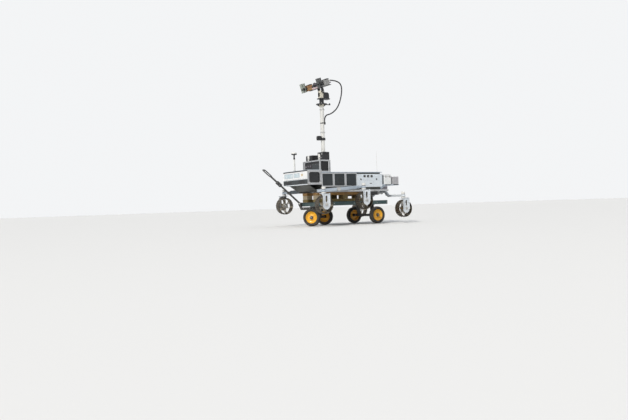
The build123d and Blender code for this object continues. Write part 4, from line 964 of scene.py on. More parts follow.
rearBogie = {"x": -0.767, "low": 0.447, "raised": 0.521, "kneeIn": 0.15, "kneeOut": 0.24, "tip": 0.596,
        "wide": 0.044, "high": 0.034, "pivot": 0.038, "pivotRear": -0.813}


def buildRearBogie(look):
    # cross beam swept through its knees, clamps at its ends and the pivot in the middle
    low, kneeOut, kneeIn, raised = (look[key] for key in ("low", "kneeOut", "kneeIn", "raised"))
    x, h = look["x"], look["high"] / 2
    stations = [(-look["tip"], low), (-kneeOut - 0.012, low), (-kneeOut, low + 0.002),
                (-kneeOut + 0.01, low + 0.009), (-kneeIn - 0.01, raised - 0.009), (-kneeIn, raised - 0.002),
                (-kneeIn + 0.012, raised)]
    path = [(x, y, z) for y, z in stations] + [(x, -y, z) for y, z in stations[::-1]]
    section = roundedLoop(look["wide"] / 2, h, 0.004)
    parts = [swept(section, path)]
    for s in (-1, 1):
        parts.append(driveClamp((x, s * halfTrack, low)))
        parts.append(bolts([(x + dx, s * y, low + h) for dx in (-0.014, 0.014) for y in (0.575, 0.33, 0.3)],
                zAxis, 0.003, 1))
        parts += [pocketRim(0.013, 0.034, 0.012, x, s * y, low + h) for y in (0.415, 0.505)]
        rib = [(s * 0.15, raised - h), (s * 0.238, low - h + 0.004), (s * 0.15, low - h + 0.034)]
        parts.append(plate(rib, (x - 0.004, x + 0.004), 0))
    r = look["pivot"]
    profile = [(0.02, 0.004), (0.022, 0), (r - 0.006, 0), (r - 0.001, 0.002), (r, 0.005), (r, 0.018),
            (r - 0.004, 0.02), (r - 0.004, 0.074), (r, 0.076), (r, 0.107)]
    parts.append(turned(profile, (look["pivotRear"], 0, raised), xAxis, 48, 2))
    parts.append(boltRing((look["pivotRear"], 0, raised), rearward, 0.028, 6, 0, 0.0028, 1, height=0.0004))
    addPiece("rearBogie", parts, "plateSilver boltZinc machinedSilver", replaces=["bogie_rear"])


buildRearBogie(rearBogie)
print("rails and bogies built")

# belly tub with its panels, screws and the rear connector plate; deck plate with its edge
tub = {"seams": (-0.25, 0.13, 0.52), "rear": -0.528, "front": 0.64, "half": 0.33, "low": 0.56, "high": 0.835,
       "deckHalf": 0.39, "deckTop": 0.845, "screwHole": 0.0033, "collar": 0.0075}


def buildTub(look):
    # box with its seams and connector plate, and the deck of one sheet round each payload hole
    rear, front, half, low, high = look["rear"], look["front"], look["half"], look["low"], look["high"]
    parts = [slab(rear, front, -half, half, low, high, 0.004, 0.002, along=0)]
    # seams of the bottom sheets: raised overlaps with their screws
    for x in look["seams"]:
        parts.append(slab(x - 0.018, x + 0.018, -0.314, 0.314, low - 0.0018, low + 0.001, 0.001, 0.0006))
        parts.append(bolts(gridOf(x, np.linspace(-0.3, 0.3, 9), low - 0.0018), downward, 0.003, 1,
                height=0.002))
    # rear wall above the shelf: connector plate, round sockets, latch and vent
    parts.append(slab(rear - 0.004, rear, -0.3, 0.3, 0.64, 0.825, 0.006, 0.001, 2, along=0))
    parts.append(bolts(gridOf(rear - 0.004, np.linspace(-0.288, 0.288, 7), (0.65, 0.815)), rearward, 0.003, 1,
            height=0.0025))
    for y, z, r in [(-0.24, 0.77, 0.016), (-0.18, 0.77, 0.016), (-0.12, 0.77, 0.012), (-0.24, 0.7, 0.012),
            (-0.18, 0.7, 0.012), (-0.12, 0.7, 0.012), (0.24, 0.78, 0.014)]:
        parts.append(turned([(r * 1.35, 0), (r * 1.35, 0.002), (r, 0.003), (r, 0.014), (r * 0.85, 0.015),
                (r * 0.8, 0.006)], (rear - 0.004, y, z), rearward, 24, 3))
    for k in range(7):
        parts.append(slab(rear - 0.0062, rear - 0.003, 0.02, 0.16, 0.69 + k * 0.014, 0.696 + k * 0.014,
                0.0015, 0.0008, 4, along=0))
    addPiece("bellyTub", parts, "underGrey boltZinc darkPanel connectorMetal boltBlack")
    # deck plate: four sheets round the payload holes, so that the holes stay open
    parts, wide, deck = [], look["deckHalf"], look["deckTop"]
    for x, x0, x1 in ((-0.35, rear, -0.2), (-0.05, -0.2, 0.1)):
        for y, y0, y1 in ((-0.2, -wide, 0.0), (0.2, 0.0, wide)):
            ray, outer = sheetRound((x, y), (x0, y0), (x1, y1), 32)
            collar, hole = ((x, y) + ray * look[key] for key in ("collar", "screwHole"))
            parts.append(layers([(outer, high), (outer, deck), (collar, deck), (collar, 0.8458),
                    (hole, 0.8458), (hole, 0.837)], 2))
    parts.append(slab(0.1, front, -wide, wide, high, deck, 0.002, 0.001))
    rim = [(x, s * 0.378, deck) for s in (-1, 1) for x in np.linspace(rear + 0.02, front - 0.02, 13)]
    rim += [(rear + 0.012, y, deck) for y in np.linspace(-0.32, 0.32, 7)] + [(0.092, y, deck)
            for y in np.linspace(-0.36, 0.36, 7)]
    parts.append(bolts(rim, zAxis, 0.0034, 1, height=0.0016))
    addPiece("deckPlate", parts, "sheetSilver boltZinc")


buildTub(tub)

# side units: folded sheet with three round sockets, a slot, two holes and a row of screws
sideUnit = {"rear": -0.524, "front": -0.035, "near": 0.33, "far": 0.39, "low": 0.6, "high": 0.812,
        "ports": (-0.31, -0.24, -0.17), "portZ": 0.775, "portRadius": 0.013}


def buildSideUnits(look):
    # box behind a face of one sheet round each socket
    ports, portZ = look["ports"], look["portZ"]
    for name, s in (("left", 1), ("right", -1)):
        rear, front, far, low, high = look["rear"], look["front"], look["far"], look["low"], look["high"]
        parts = [slab(rear, front, s * look["near"], s * (far - 0.0125), low, high, 0.003, 0.0015, along=1)]
        # face sheet pierced by the three sockets: one strip per socket
        edges = [rear + 0.002, (ports[0] + ports[1]) / 2, (ports[1] + ports[2]) / 2, front - 0.002]
        for x, x0, x1 in zip(ports, edges, edges[1:]):
            ray, outer = sheetRound((x, portZ), (x0, low + 0.002), (x1, high - 0.002), 48)
            circle = (x, portZ) + look["portRadius"] * ray
            parts.append(layers([(outer, far - 0.013), (outer, far), (circle, far), (circle, far - 0.012)],
                    side=s))
            parts.append(turned([(0.0128, -0.0115), (0.0128, 0.0012), (0.0116, 0.0018), (0.0104, 0.0008),
                    (0.0104, -0.006)], (x, s * far, portZ), (0, s, 0), 32, 2, closed=True))
            parts.append(turned([(0.0103, -0.0105), (0.0103, -0.007), (0.004, -0.0068), (0.0034, -0.004)],
                    (x, s * far, portZ), (0, s, 0), 24, 3))
            square = roundedLoop(0.0215, 0.0185, 0.0035, 6)
            ringed = square / np.linalg.norm(square, axis=1)[:, None] * 0.0131
            parts.append(pierced(square, ringed, far - 0.0002, far + 0.0024, 0.0005, onPlane(1, x, portZ, s),
                    3))
            parts.append(bolts([(x + dx, s * (far + 0.0024), portZ + dz) for dx in (-0.0165, 0.0165)
                    for dz in (-0.014, 0.014)], (0, s, 0), 0.0016, 1))
        # folded lower lip, stepped in at the front as on the real one
        parts.append(slab(rear + 0.004, -0.15, s * (far - 0.004), s * (far + 0.0016), low + 0.002, 0.69,
                0.004, 0.0008, along=1))
        parts.append(bolts(gridOf(np.linspace(rear + 0.03, front - 0.03, 12), s * far, 0.706), (0, s, 0),
                0.0022, 1))
        parts.append(bolts(gridOf((-0.505, -0.34, -0.17), s * (far + 0.0016), (0.614, 0.68)), (0, s, 0),
                0.003, 1))
        parts.append(bolts(gridOf((-0.505, -0.39, -0.095, -0.05), s * far, 0.8), (0, s, 0), 0.003, 1))
        for x, z, r in ((-0.095, 0.725, 0.011), (-0.409, 0.726, 0.011)):
            parts.append(turned([(r * 1.25, 0), (r * 1.25, 0.0015), (r, 0.002), (r * 0.9, 0.0004),
                    (r * 0.5, 0.0002)], (x, s * far, z), (0, s, 0), 24, 3))
        parts.append(slab(-0.312, -0.268, s * (far + 0.001), s * (far + 0.003), 0.652, 0.664, 0.005, 0.0008,
                3, along=1, steps=6))
        # handle strip and vent on the top fold
        for k in range(9):
            parts.append(slab(-0.49 + k * 0.012, -0.483 + k * 0.012, s * (far - 0.001), s * (far + 0.0009),
                    0.74, 0.786, 0.003, 0.0006, along=1, steps=5))
        # the sheet's pale blue is partly a painted reflection of the sky
        addPiece("sideUnit_" + name, parts, "sideSilver boltZinc machinedSilver boltBlack",
                replaces=["side_units"] if s > 0 else ())


buildSideUnits(sideUnit)

# side covers ahead of the units: framed dark panels with screws and louvres
cover = {"rear": -0.035, "front": 0.64, "near": 0.33, "far": 0.37, "low": 0.612, "high": 0.835}


def buildSideCovers(look):
    # one framed panel in each third of the length
    low, high = look["low"], look["high"]
    for name, s in (("left", 1), ("right", -1)):
        near, far = look["near"], look["far"]
        parts = [slab(look["rear"], look["front"], s * near, s * (far - 0.004), low, high, 0.003, 0.0015,
                along=1)]
        edges = np.linspace(look["rear"] + 0.001, look["front"] - 0.001, 4)
        for x0, x1 in zip(edges[:-1], edges[1:]):
            middle, half = (x0 + x1) / 2, (x1 - x0) / 2 - 0.0015
            zMiddle, zHalf = (low + high) / 2, (high - low) / 2 - 0.002
            outer = roundedLoop(half, zHalf, 0.004, 4)
            inner = roundedLoop(half - 0.016, zHalf - 0.016, 0.01, 4)
            parts.append(pierced(outer, inner, far - 0.004, far, 0.0008, onPlane(1, middle, zMiddle, s), 1))
            parts.append(slab(x0 + 0.01, x1 - 0.01, s * (far - 0.005), s * (far - 0.0022), low + 0.012,
                    high - 0.012, 0.003, 0.0006, along=1))
            parts.append(bolts([(middle + dx, s * far, zMiddle + dz)
                    for dx in (-half + 0.008, 0, half - 0.008) for dz in (-zHalf + 0.008, zHalf - 0.008)],
                    (0, s, 0), 0.003, 2, height=0.0026))
        for k in range(8):
            z = 0.665 + k * 0.012
            louvre = [(s * (far + out), z + up) for out, up in ((-0.0024, 0), (0.0006, 0.001),
                    (0.0006, 0.003), (-0.0024, 0.0075))]
            parts.append(plate(louvre, (0.235, 0.345), 0))
        addPiece("sideCover_" + name, parts, "darkPanel profileSilver boltZinc",
                replaces=["side_covers"] if s > 0 else ())


buildSideCovers(cover)

# battery boxes under the rear of the sides
battery = {"rear": -0.45, "front": -0.19, "near": 0.288, "far": 0.36, "low": 0.47, "high": 0.53}


def buildBatteries(look):
    # box and lid with ribs along the outer side
    rear, front, low, high = look["rear"], look["front"], look["low"], look["high"]
    for name, s in (("left", 1), ("right", -1)):
        near, far = s * look["near"], s * look["far"]
        parts = [slab(rear, front, near, far, low, high - 0.01, 0.006, 0.002),
                slab(rear, front, near, far, high - 0.0115, high - 0.0002, 0.006, 0.001, 1)]
        parts += [slab(x - 0.003, x + 0.003, s * (look["far"] - 0.001), s * (look["far"] + 0.0015),
                low + 0.006, high - 0.016, 0.001, 0.0006, along=1)
                for x in np.linspace(rear + 0.03, front - 0.03, 8)]
        socket = [(0.009, 0), (0.009, 0.004), (0.0075, 0.005), (0.0075, 0.014), (0.006, 0.015)]
        parts += [turned(socket, (rear, s * y, 0.5), rearward, 20, 2) for y in (0.32, 0.344)]
        addPiece("batteryBox_" + name, parts, "electronicsBlack blackPaint connectorMetal",
                replaces=["battery_boxes"] if s > 0 else ())


buildBatteries(battery)
print("tub, deck and side units built")

# front bay: slotted profile frame with its windows and panels
frontBay = {"rear": 0.64, "front": 0.9, "half": 0.38, "low": 0.65, "high": 0.876, "split": 0.742,
        "size": 0.03, "wall": 0.006, "screwY": 0.368}


def buildFrontBay(look):
    # frame, windows, upper and lower panel, top panel and sloping belly plate
    split = look["split"]
    size, wide, screwY = look["size"], look["half"], look["screwY"]
    half = wide - size / 2
    rear, front = look["rear"] + size / 2, look["front"] - size / 2
    low, high = look["low"] + size / 2, look["high"] - size / 2
    parts = []
    for x in (rear, front):
        parts += [profileBar((x, s * half, look["low"]), (x, s * half, look["high"]), size) for s in (-1, 1)]
        parts += [profileBar((x, -half + size / 2, z), (x, half - size / 2, z), size) for z in (low, high)]
    for z in (low, high):
        parts += [profileBar((rear + size / 2, s * half, z), (front - size / 2, s * half, z), size)
                for s in (-1, 1)]
    for s in (-1, 1):
        for x in (rear, front):
            for z in (low, high):
                parts.append(cornerPlate((x, s * (look["half"] - 0.0006), z), (0, s, 0), 0.026, 1))
                parts.append(bolts([(x, s * (look["half"] + 0.003), z)], (0, s, 0), 0.0042, 2, height=0.003))
        # inner angle brackets of the window frame
        for x, z, dx, dz in ((rear + size / 2, low + size / 2, 1, 1),
                (front - size / 2, low + size / 2, -1, 1), (rear + size / 2, high - size / 2, 1, -1),
                (front - size / 2, high - size / 2, -1, -1)):
            parts.append(plate([(x, z), (x + dx * 0.024, z), (x, z + dz * 0.024)],
                    [s * (half + t) for t in (-0.01, 0.01)], paint=1))
    addPiece("frontFrame", parts, "profileSilver machinedSilver boltZinc")
    panes = []
    for s in (-1, 1):
        panes.append(slab(look["rear"] + size, look["front"] - size, s * 0.35, s * 0.354, look["low"] + size,
                look["high"] - size, 0.001, 0.0004, along=1))
        frameOuter = roundedLoop(0.0995, 0.0825, 0.002)
        frameInner = roundedLoop(0.0955, 0.0785, 0.004)
        panes.append(pierced(frameOuter, frameInner, 0.3535, 0.357, 0.0006, onPlane(1, 0.77, 0.763, s), 1))
    addPiece("frontWindows", panes, "windowBlack boltBlack", replaces=["front_side_windows"])
    # upper panel: white sheet with a dark top edge, a socket plate, two tinted strips and screws
    x0, x1 = look["front"], look["front"] + look["wall"]
    parts = [slab(x0 + 0.0002, x1 - 0.0012, -wide, wide, split + 0.001, look["high"], 0.004, along=0),
            slab(x0 + 0.0002, x1, -wide, wide, look["high"] - 0.016, look["high"], 0.002, 0.0008, 1, along=0),
            slab(x1 - 0.002, x1, 0.196, 0.252, 0.788, 0.824, 0.003, 0.0006, 2, along=0)]
    for y0, y1, z0, z1 in ((-0.345, -0.06, 0.772, 0.842), (-0.03, 0.15, 0.772, 0.842)):
        outer = roundedLoop((y1 - y0) / 2, (z1 - z0) / 2, 0.008, 4)
        inner = roundedLoop((y1 - y0) / 2 - 0.006, (z1 - z0) / 2 - 0.006, 0.005, 4)
        parts.append(pierced(outer, inner, x1 - 0.0016, x1, 0.0005, onPlane(0, (y0 + y1) / 2, (z0 + z1) / 2),
                3))
        parts.append(slab(x1 - 0.0014, x1 - 0.0006, y0 + 0.006, y1 - 0.006, z0 + 0.006, z1 - 0.006, 0.004,
                0.0003, 4, along=0))
    parts.append(bolts(gridOf(x1 - 0.0016, np.linspace(-screwY, screwY, 9), 0.752), xAxis, 0.003, 5,
            height=0.0016))
    parts.append(bolts(gridOf(x1 - 0.0012, np.linspace(-screwY, screwY, 7), 0.868), xAxis, 0.003, 5,
            height=0.0012))
    parts.append(bolts(gridOf(x1 - 0.0016, (0.202, 0.246), (0.793, 0.819)), xAxis, 0.0018, 5, height=0.0016))
    addPiece("frontUpperPanel", parts, "whitePaint blackPaint beigeLabel sheetSilver tintedSheet boltZinc")
    # lower panel: dark sheet with a pale lower edge and a louvred vent
    parts = [slab(x0 + 0.0002, x1 - 0.0012, -wide, wide, look["low"], split - 0.001, 0.004, along=0),
             slab(x0 + 0.0002, x1, -wide, wide, look["low"], look["low"] + 0.012, 0.002, 0.0008, 1, along=0),
             slab(x0 + 0.0002, x1, -wide, wide, split - 0.007, split - 0.001, 0.001, 0.0006, 1, along=0)]
    for k in range(14):
        parts += [slab(x1 - 0.002, x1, y0 + k * 0.014, y1 + k * 0.014, 0.676, 0.722, 0.003, 0.0006, 2,
                along=0, steps=4) for y0, y1 in ((-0.3, -0.292), (0.11, 0.118))]
    parts.append(bolts(gridOf(x1 - 0.0014, np.linspace(-screwY, screwY, 7), (0.668, 0.729)), xAxis, 0.003, 3,
            height=0.0014))
    addPiece("frontLowerPanel", parts, "darkPanel plateSilver electronicsBlack boltZinc")
    # top panel with its screws and two access lids
    parts = [slab(look["rear"], look["front"], -wide, wide, look["high"], look["high"] + 0.0052, 0.003,
            0.001)]
    for y in (-0.17, 0.19):
        parts.append(slab(0.69, 0.85, y - 0.12, y + 0.12, look["high"] + 0.0045, look["high"] + 0.006, 0.01,
                0.0006))
        parts.append(bolts([(x, y + dy, look["high"] + 0.0052) for x in (0.698, 0.77, 0.842)
                for dy in (-0.112, 0.112)], zAxis, 0.0028, 1, height=0.0008))
    parts.append(bolts([(x, s * 0.366, look["high"] + 0.005) for s in (-1, 1)
            for x in np.linspace(0.66, 0.885, 5)], zAxis, 0.003, 1, height=0.001))
    addPiece("frontTopPanel", parts, "sheetSilver boltZinc")
    # sloping belly plate: folded sheet with ribs pressed along the slope
    across = np.linspace(-0.3, 0.3, 61)
    run = np.array([(0.6402, 0.56), (0.694, 0.56), (0.7, 0.5612), (0.706, 0.565), (0.834, 0.6465),
            (0.84, 0.65), (0.828, 0.65), (0.7, 0.5672), (0.694, 0.566), (0.6402, 0.566)])
    rib = 0.0022 * np.clip(np.cos(across * 2 * pi / 0.1) * 2.5 - 1.2, 0, 1)
    weight = np.array([0, 0, 0, 1, 1, 0, 0, 1, 0, 0])
    grid = np.stack([np.column_stack([run[:, 0] + 0.5 * weight * r, np.full(10, y),
            run[:, 1] + 0.8 * weight * r]) for y, r in zip(across, rib)])
    parts = [surface(grid, caps=(True, True)), bolts(gridOf(0.652, np.linspace(-0.28, 0.28, 8), 0.56),
            downward, 0.003, 1, height=0.002)]
    addPiece("frontBellyPlate", parts, "underGrey boltZinc")


buildFrontBay(frontBay)

# rear shelf with its gussets and lower box, the white box and the see-through box
rear = {"slots": (-0.82, -0.76, -0.7, -0.64, -0.58), "shelfLow": 0.622, "shelfTop": 0.628, "back": -0.88,
        "front": -0.528, "half": 0.38}


def buildRear(look):
    # shelf, lower box, white box and see-through box
    back, front = look["back"], look["front"]
    low, top = look["shelfLow"], look["shelfTop"]
    parts = [slab(back, front, -look["half"], look["half"], low, top, 0.006, 0.001)]
    for s in (-1, 1):
        parts.append(slab(back, front, s * 0.3765, s * 0.38, top - 0.001, top + 0.012, 0.001, 0.0006))
        gusset = [(front, low), (-0.648, low), (-0.64, low - 0.006), (-0.534, low - 0.062),
                (front, low - 0.062)]
        parts.append(plate(gusset, [s * 0.32 + t for t in (-0.004, 0.004)]))
        parts.append(bolts(gridOf((-0.86, -0.7, -0.548), s * 0.352, top), zAxis, 0.003, 1))
    parts.append(slab(back, back + 0.003, -0.376, 0.376, top - 0.001, top + 0.012, 0.001, 0.0006))
    # slots cut along the right half of the shelf, shown as raised rims
    for x in look["slots"]:
        loop = roundedLoop(0.01, 0.09, 0.0098, 6)
        parts.append(pierced(shifted(loop, 0.003), loop, top - 0.0005, top + 0.0012, 0.0004,
                onPlane(2, x, -0.18)))
        parts.append(slab(x - 0.0098, x + 0.0098, -0.269, -0.091, top - 0.0005, top + 0.0002, 0.0095, 0.0001,
                2, steps=5))
    addPiece("rearShelf", parts, "sheetSilver boltZinc electronicsBlack")
    parts = [slab(-0.7, -0.577, 0.075, 0.3, 0.56, 0.6222, 0.006, 0.002),
             slab(-0.7008, -0.576, 0.072, 0.3015, 0.606, 0.612, 0.005, 0.001)]
    parts.append(bolts(gridOf(-0.7, (0.09, 0.285), (0.572, 0.6)), rearward, 0.0026, 1))
    for k in range(6):
        parts.append(slab(-0.69 + k * 0.018, -0.682 + k * 0.018, 0.2995, 0.3012, 0.57, 0.6, 0.003, 0.0006, 2,
                along=1, steps=4))
    addPiece("lowerBox", parts, "purpleGrey boltZinc electronicsBlack", replaces=())
    # white box: body, lid with its lip, latches and screws
    parts = [slab(-0.722, -0.576, 0.09, 0.38, top, 0.768, 0.01, 0.002, steps=5),
            slab(-0.722, -0.576, 0.09, 0.38, 0.7695, 0.806, 0.01, 0.003, steps=5),
            slab(-0.7215, -0.5765, 0.0905, 0.3795, 0.7672, 0.7702, 0.01, 0.0004, 1, steps=5)]
    for y in (0.15, 0.32):
        parts.append(slab(-0.7235, -0.72, y - 0.014, y + 0.014, 0.748, 0.786, 0.004, 0.001, 2, along=0))
    for x in (-0.69, -0.608):
        parts.append(slab(x - 0.012, x + 0.012, 0.3785, 0.3815, 0.75, 0.784, 0.004, 0.001, 2, along=1))
    parts.append(bolts(gridOf((-0.712, -0.586), (0.1, 0.37), 0.806), zAxis, 0.0032, 3, height=0.0006))
    addPiece("rearWhiteBox", parts, "whitePaint boltBlack boltZinc boltZinc")
    # see-through box: thin walls as one closed shell, with the board and cells inside
    outerLoop = roundedLoop(0.063, 0.13, 0.01, 5)
    rows = [(outerLoop, top), (outerLoop, 0.7655), (shifted(outerLoop, -0.0015), 0.767),
            (shifted(outerLoop, -0.004), 0.767), (shifted(outerLoop, -0.004), top + 0.004)]
    shell = layers([(loop + [-0.815, 0.25], z) for loop, z in rows], 2)
    lid = slab(-0.8775, -0.7525, 0.1205, 0.3795, 0.759, 0.7668, 0.01, 0.001, steps=5)
    addPiece("rearClearBox", [shell, lid], "clearGrey")
    inside = [slab(-0.868, -0.762, 0.132, 0.368, 0.64, 0.643, 0.004, 0.0005),
            slab(-0.862, -0.8, 0.15, 0.23, 0.643, 0.7, 0.004, 0.001, 1),
            slab(-0.79, -0.77, 0.15, 0.35, 0.643, 0.668, 0.003, 0.001, 1),
            slab(-0.862, -0.8, 0.25, 0.352, 0.643, 0.722, 0.004, 0.001, 2)]
    inside += [turned([(0.011, 0), (0.012, 0.001), (0.012, 0.064), (0.011, 0.065), (0.005, 0.066)],
            (-0.85 + 0.027 * i, 0.262 + 0.026 * j, 0.722 - 0.065), zAxis, 16, 3) for i in range(2)
            for j in range(4)]
    inside.append(bolts(gridOf((-0.864, -0.766), (0.136, 0.364), 0.643), zAxis, 0.002, 4))
    addPiece("clearBoxInside", inside, "boardGrey cellGrey purpleGrey purpleGrey boltZinc", replaces=())


buildRear(rear)

# rack on the deck, its black case, the two boxes on top, beacons and antennas
rack = {"rear": 0.44, "front": 0.64, "right": -0.19, "left": 0.33, "low": 0.845, "high": 1.04, "size": 0.02}


def buildRack(look):
    # frame of profiles, the case in it and the two boxes on it
    size, rear, front = (look[key] for key in ("size", "rear", "front"))
    half = size / 2
    right, left = look["right"] + half, look["left"] - half
    parts = []
    for x in (rear + half, front - half):
        parts += [profileBar((x, y, look["low"]), (x, y, look["high"]), size) for y in (right, left)]
        parts += [profileBar((x, right + half, z), (x, left - half, z), size)
                for z in (look["low"] + half, look["high"] - half)]
    for y in (right, left):
        parts += [profileBar((rear + 2 * half, y, z), (front - 2 * half, y, z), size)
                for z in (look["low"] + half, look["high"] - half)]
    for x in (rear + half, front - half):
        for z in (look["low"] + half, look["high"] - half):
            for y, s in ((look["right"] + 0.0004, -1), (look["left"] - 0.0004, 1)):
                parts.append(prism((x, y, z), (x, y + s * 0.0022, z), 0.009, 0.009, 0.002, 0.0006, 1))
                parts.append(bolts([(x, y + s * 0.0022, z)], (0, s, 0), 0.0032, 2, height=0.002))
    addPiece("topRack", parts, "profileSilver machinedSilver boltZinc")
    # black case inside: finned sides, front sockets and a cable entry
    x0, x1, y0, y1, z0, z1 = 0.46, 0.62, -0.17, 0.31, 0.845, 1.016
    case = [slab(x0 + 0.003, x1 - 0.003, y0 + 0.003, y1 - 0.003, z0, z1, 0.004, 0.0015)]
    for z in np.linspace(z0 + 0.02, z1 - 0.012, 13):
        case.append(slab(x0 + 0.006, x1 - 0.006, y1 - 0.004, y1, z, z + 0.004, 0.001, 0.0006))
        case.append(slab(x0 + 0.006, x1 - 0.006, y0, y0 + 0.004, z, z + 0.004, 0.001, 0.0006))
    for y in (-0.13, -0.06, 0.01):
        case.append(turned([(0.014, 0), (0.014, 0.0015), (0.0115, 0.002), (0.0115, 0.0032), (0.009, 0.0034),
                (0.009, 0.001)], (x1 - 0.003, y, 0.955), xAxis, 24, 1))
    case.append(slab(x1 - 0.004, x1 - 0.001, 0.07, 0.27, 0.885, 0.985, 0.004, 0.0008, 2, along=0))
    case.append(bolts(gridOf(x1 - 0.001, (0.08, 0.17, 0.26), (0.893, 0.977)), xAxis, 0.0024, 3, height=0.001))
    case.append(bolts(gridOf((0.475, 0.605), np.linspace(-0.155, 0.295, 5), z1), zAxis, 0.0028, 3,
            height=0.002))
    # two boxes on the rack: the low one with fins on its top, the high one with a lid and a handle
    low = [slab(0.44, 0.58, -0.19, 0.01, 1.04, 1.118, 0.008, 0.002, steps=4)]
    for x in np.linspace(0.447, 0.573, 14):
        low.append(slab(x - 0.0018, x + 0.0018, -0.186, 0.006, 1.116, 1.135, 0.001, 0.0008))
    low.append(bolts(gridOf(0.58, (-0.175, -0.005), 1.06), xAxis, 0.0026, 3))
    low.append(slab(0.579, 0.5815, -0.155, -0.035, 1.06, 1.104, 0.004, 0.0008, 2, along=0))
    high = [slab(0.44, 0.56, 0.14, 0.31, 1.04, 1.138, 0.008, 0.002, steps=4),
            slab(0.44, 0.56, 0.14, 0.31, 1.1395, 1.166, 0.008, 0.003, steps=4)]
    handle = [(0.5, 0.165 + 0.12 * t, 1.1655 + 0.004 * sin(pi * t)) for t in np.linspace(0, 1, 15)]
    high.append(swept(roundedLoop(0.004, 0.006, 0.003), handle, paint=2))
    for y in (0.175, 0.275):
        high.append(slab(0.559, 0.5625, y - 0.012, y + 0.012, 1.122, 1.152, 0.004, 0.001, 3, along=0))
    for y in (0.19, 0.225, 0.26):
        high.append(turned([(0.0095, 0), (0.0095, 0.0015), (0.0075, 0.002), (0.0075, 0.006),
                (0.0055, 0.0065)], (0.56, y, 1.075), xAxis, 20, 1))
    addPiece("topElectronics", case + low + high, "electronicsBlack connectorMetal darkPanel boltZinc")


antennas = {"beacons": ((0.623, 0.294, 1.04), (0.623, -0.031, 1.04)), "receiver": (0.735, -0.3, 0.882),
        "whip": (-0.49, 0.3, 0.845)}


def buildAntennas(look):
    # two beacons on the rack, the satellite receiver on its pole, and the whip
    parts = []
    for base in look["beacons"]:
        parts.append(turned([(0.0165, 0), (0.017, 0.001), (0.017, 0.01), (0.0125, 0.013)], base, zAxis, 32,
                1))
        parts.append(turned([(0.0125, 0.0125), (0.0125, 0.02), (0.016, 0.022), (0.0168, 0.024), (0.017, 0.06),
                (0.0164, 0.072), (0.0145, 0.082), (0.0105, 0.089), (0.004, 0.092)], base, zAxis, 40))
        parts.append(turned([(0.0172, 0.03), (0.0174, 0.031), (0.0174, 0.034), (0.0172, 0.035),
                (0.0165, 0.0325)], base, zAxis, 40, 2, closed=True))
    base = look["receiver"]
    parts.append(turned([(0.03, 0), (0.03, 0.004), (0.028, 0.006), (0.018, 0.008), (0.0165, 0.03),
            (0.0135, 0.032)], base, zAxis, 36, 1))
    parts.append(boltRing((0.735, -0.3, 0.888), zAxis, 0.0235, 4, 45, 0.0026, 3))
    parts.append(turned([(0.013, 0.03), (0.013, 0.12), (0.0126, 0.122), (0.0126, 0.126), (0.013, 0.128),
            (0.013, 0.21)], base, zAxis))
    parts.append(turned([(0.0135, 0.208), (0.015, 0.21), (0.015, 0.232), (0.011, 0.236), (0.011, 0.27),
            (0.018, 0.283)], base, zAxis, 32, 2))
    disc = [(0.02, 0.2828), (0.042, 0.2832), (0.0455, 0.285), (0.046, 0.288), (0.046, 0.296),
            (0.0452, 0.2985)]
    parts.append(turned(disc, base, zAxis, 64, 2))
    parts.append(turned([(0.0452, 0.2985), (0.046, 0.3), (0.0456, 0.306), (0.0435, 0.3125), (0.0385, 0.3175),
            (0.029, 0.321), (0.016, 0.3228), (0.004, 0.323)], base, zAxis, 64))
    parts.append(turned([(0.012, 0), (0.012, 0.006), (0.008, 0.01), (0.005, 0.026), (0.0036, 0.03),
            (0.003, 0.2), (0.0026, 0.335), (0.004, 0.337), (0.004, 0.341), (0.002, 0.342)], look["whip"],
            zAxis, 16))
    addPiece("antennas", parts, "whitePlastic machinedSilver boltBlack boltZinc")


buildRack(rack)
buildAntennas(antennas)
print("front bay, rear shelf, rack and antennas built")

# mast: tube with clamp rings, bolted foot, cable clip, small camera and the flange under the head
mast = {"x": 0.36, "radius": 0.0325, "clamps": (1.1, 1.5, 1.87), "clipZ": 1.64, "cameraZ": 1.38,
        "flangeZ": 1.961, "flangeTop": 1.973}


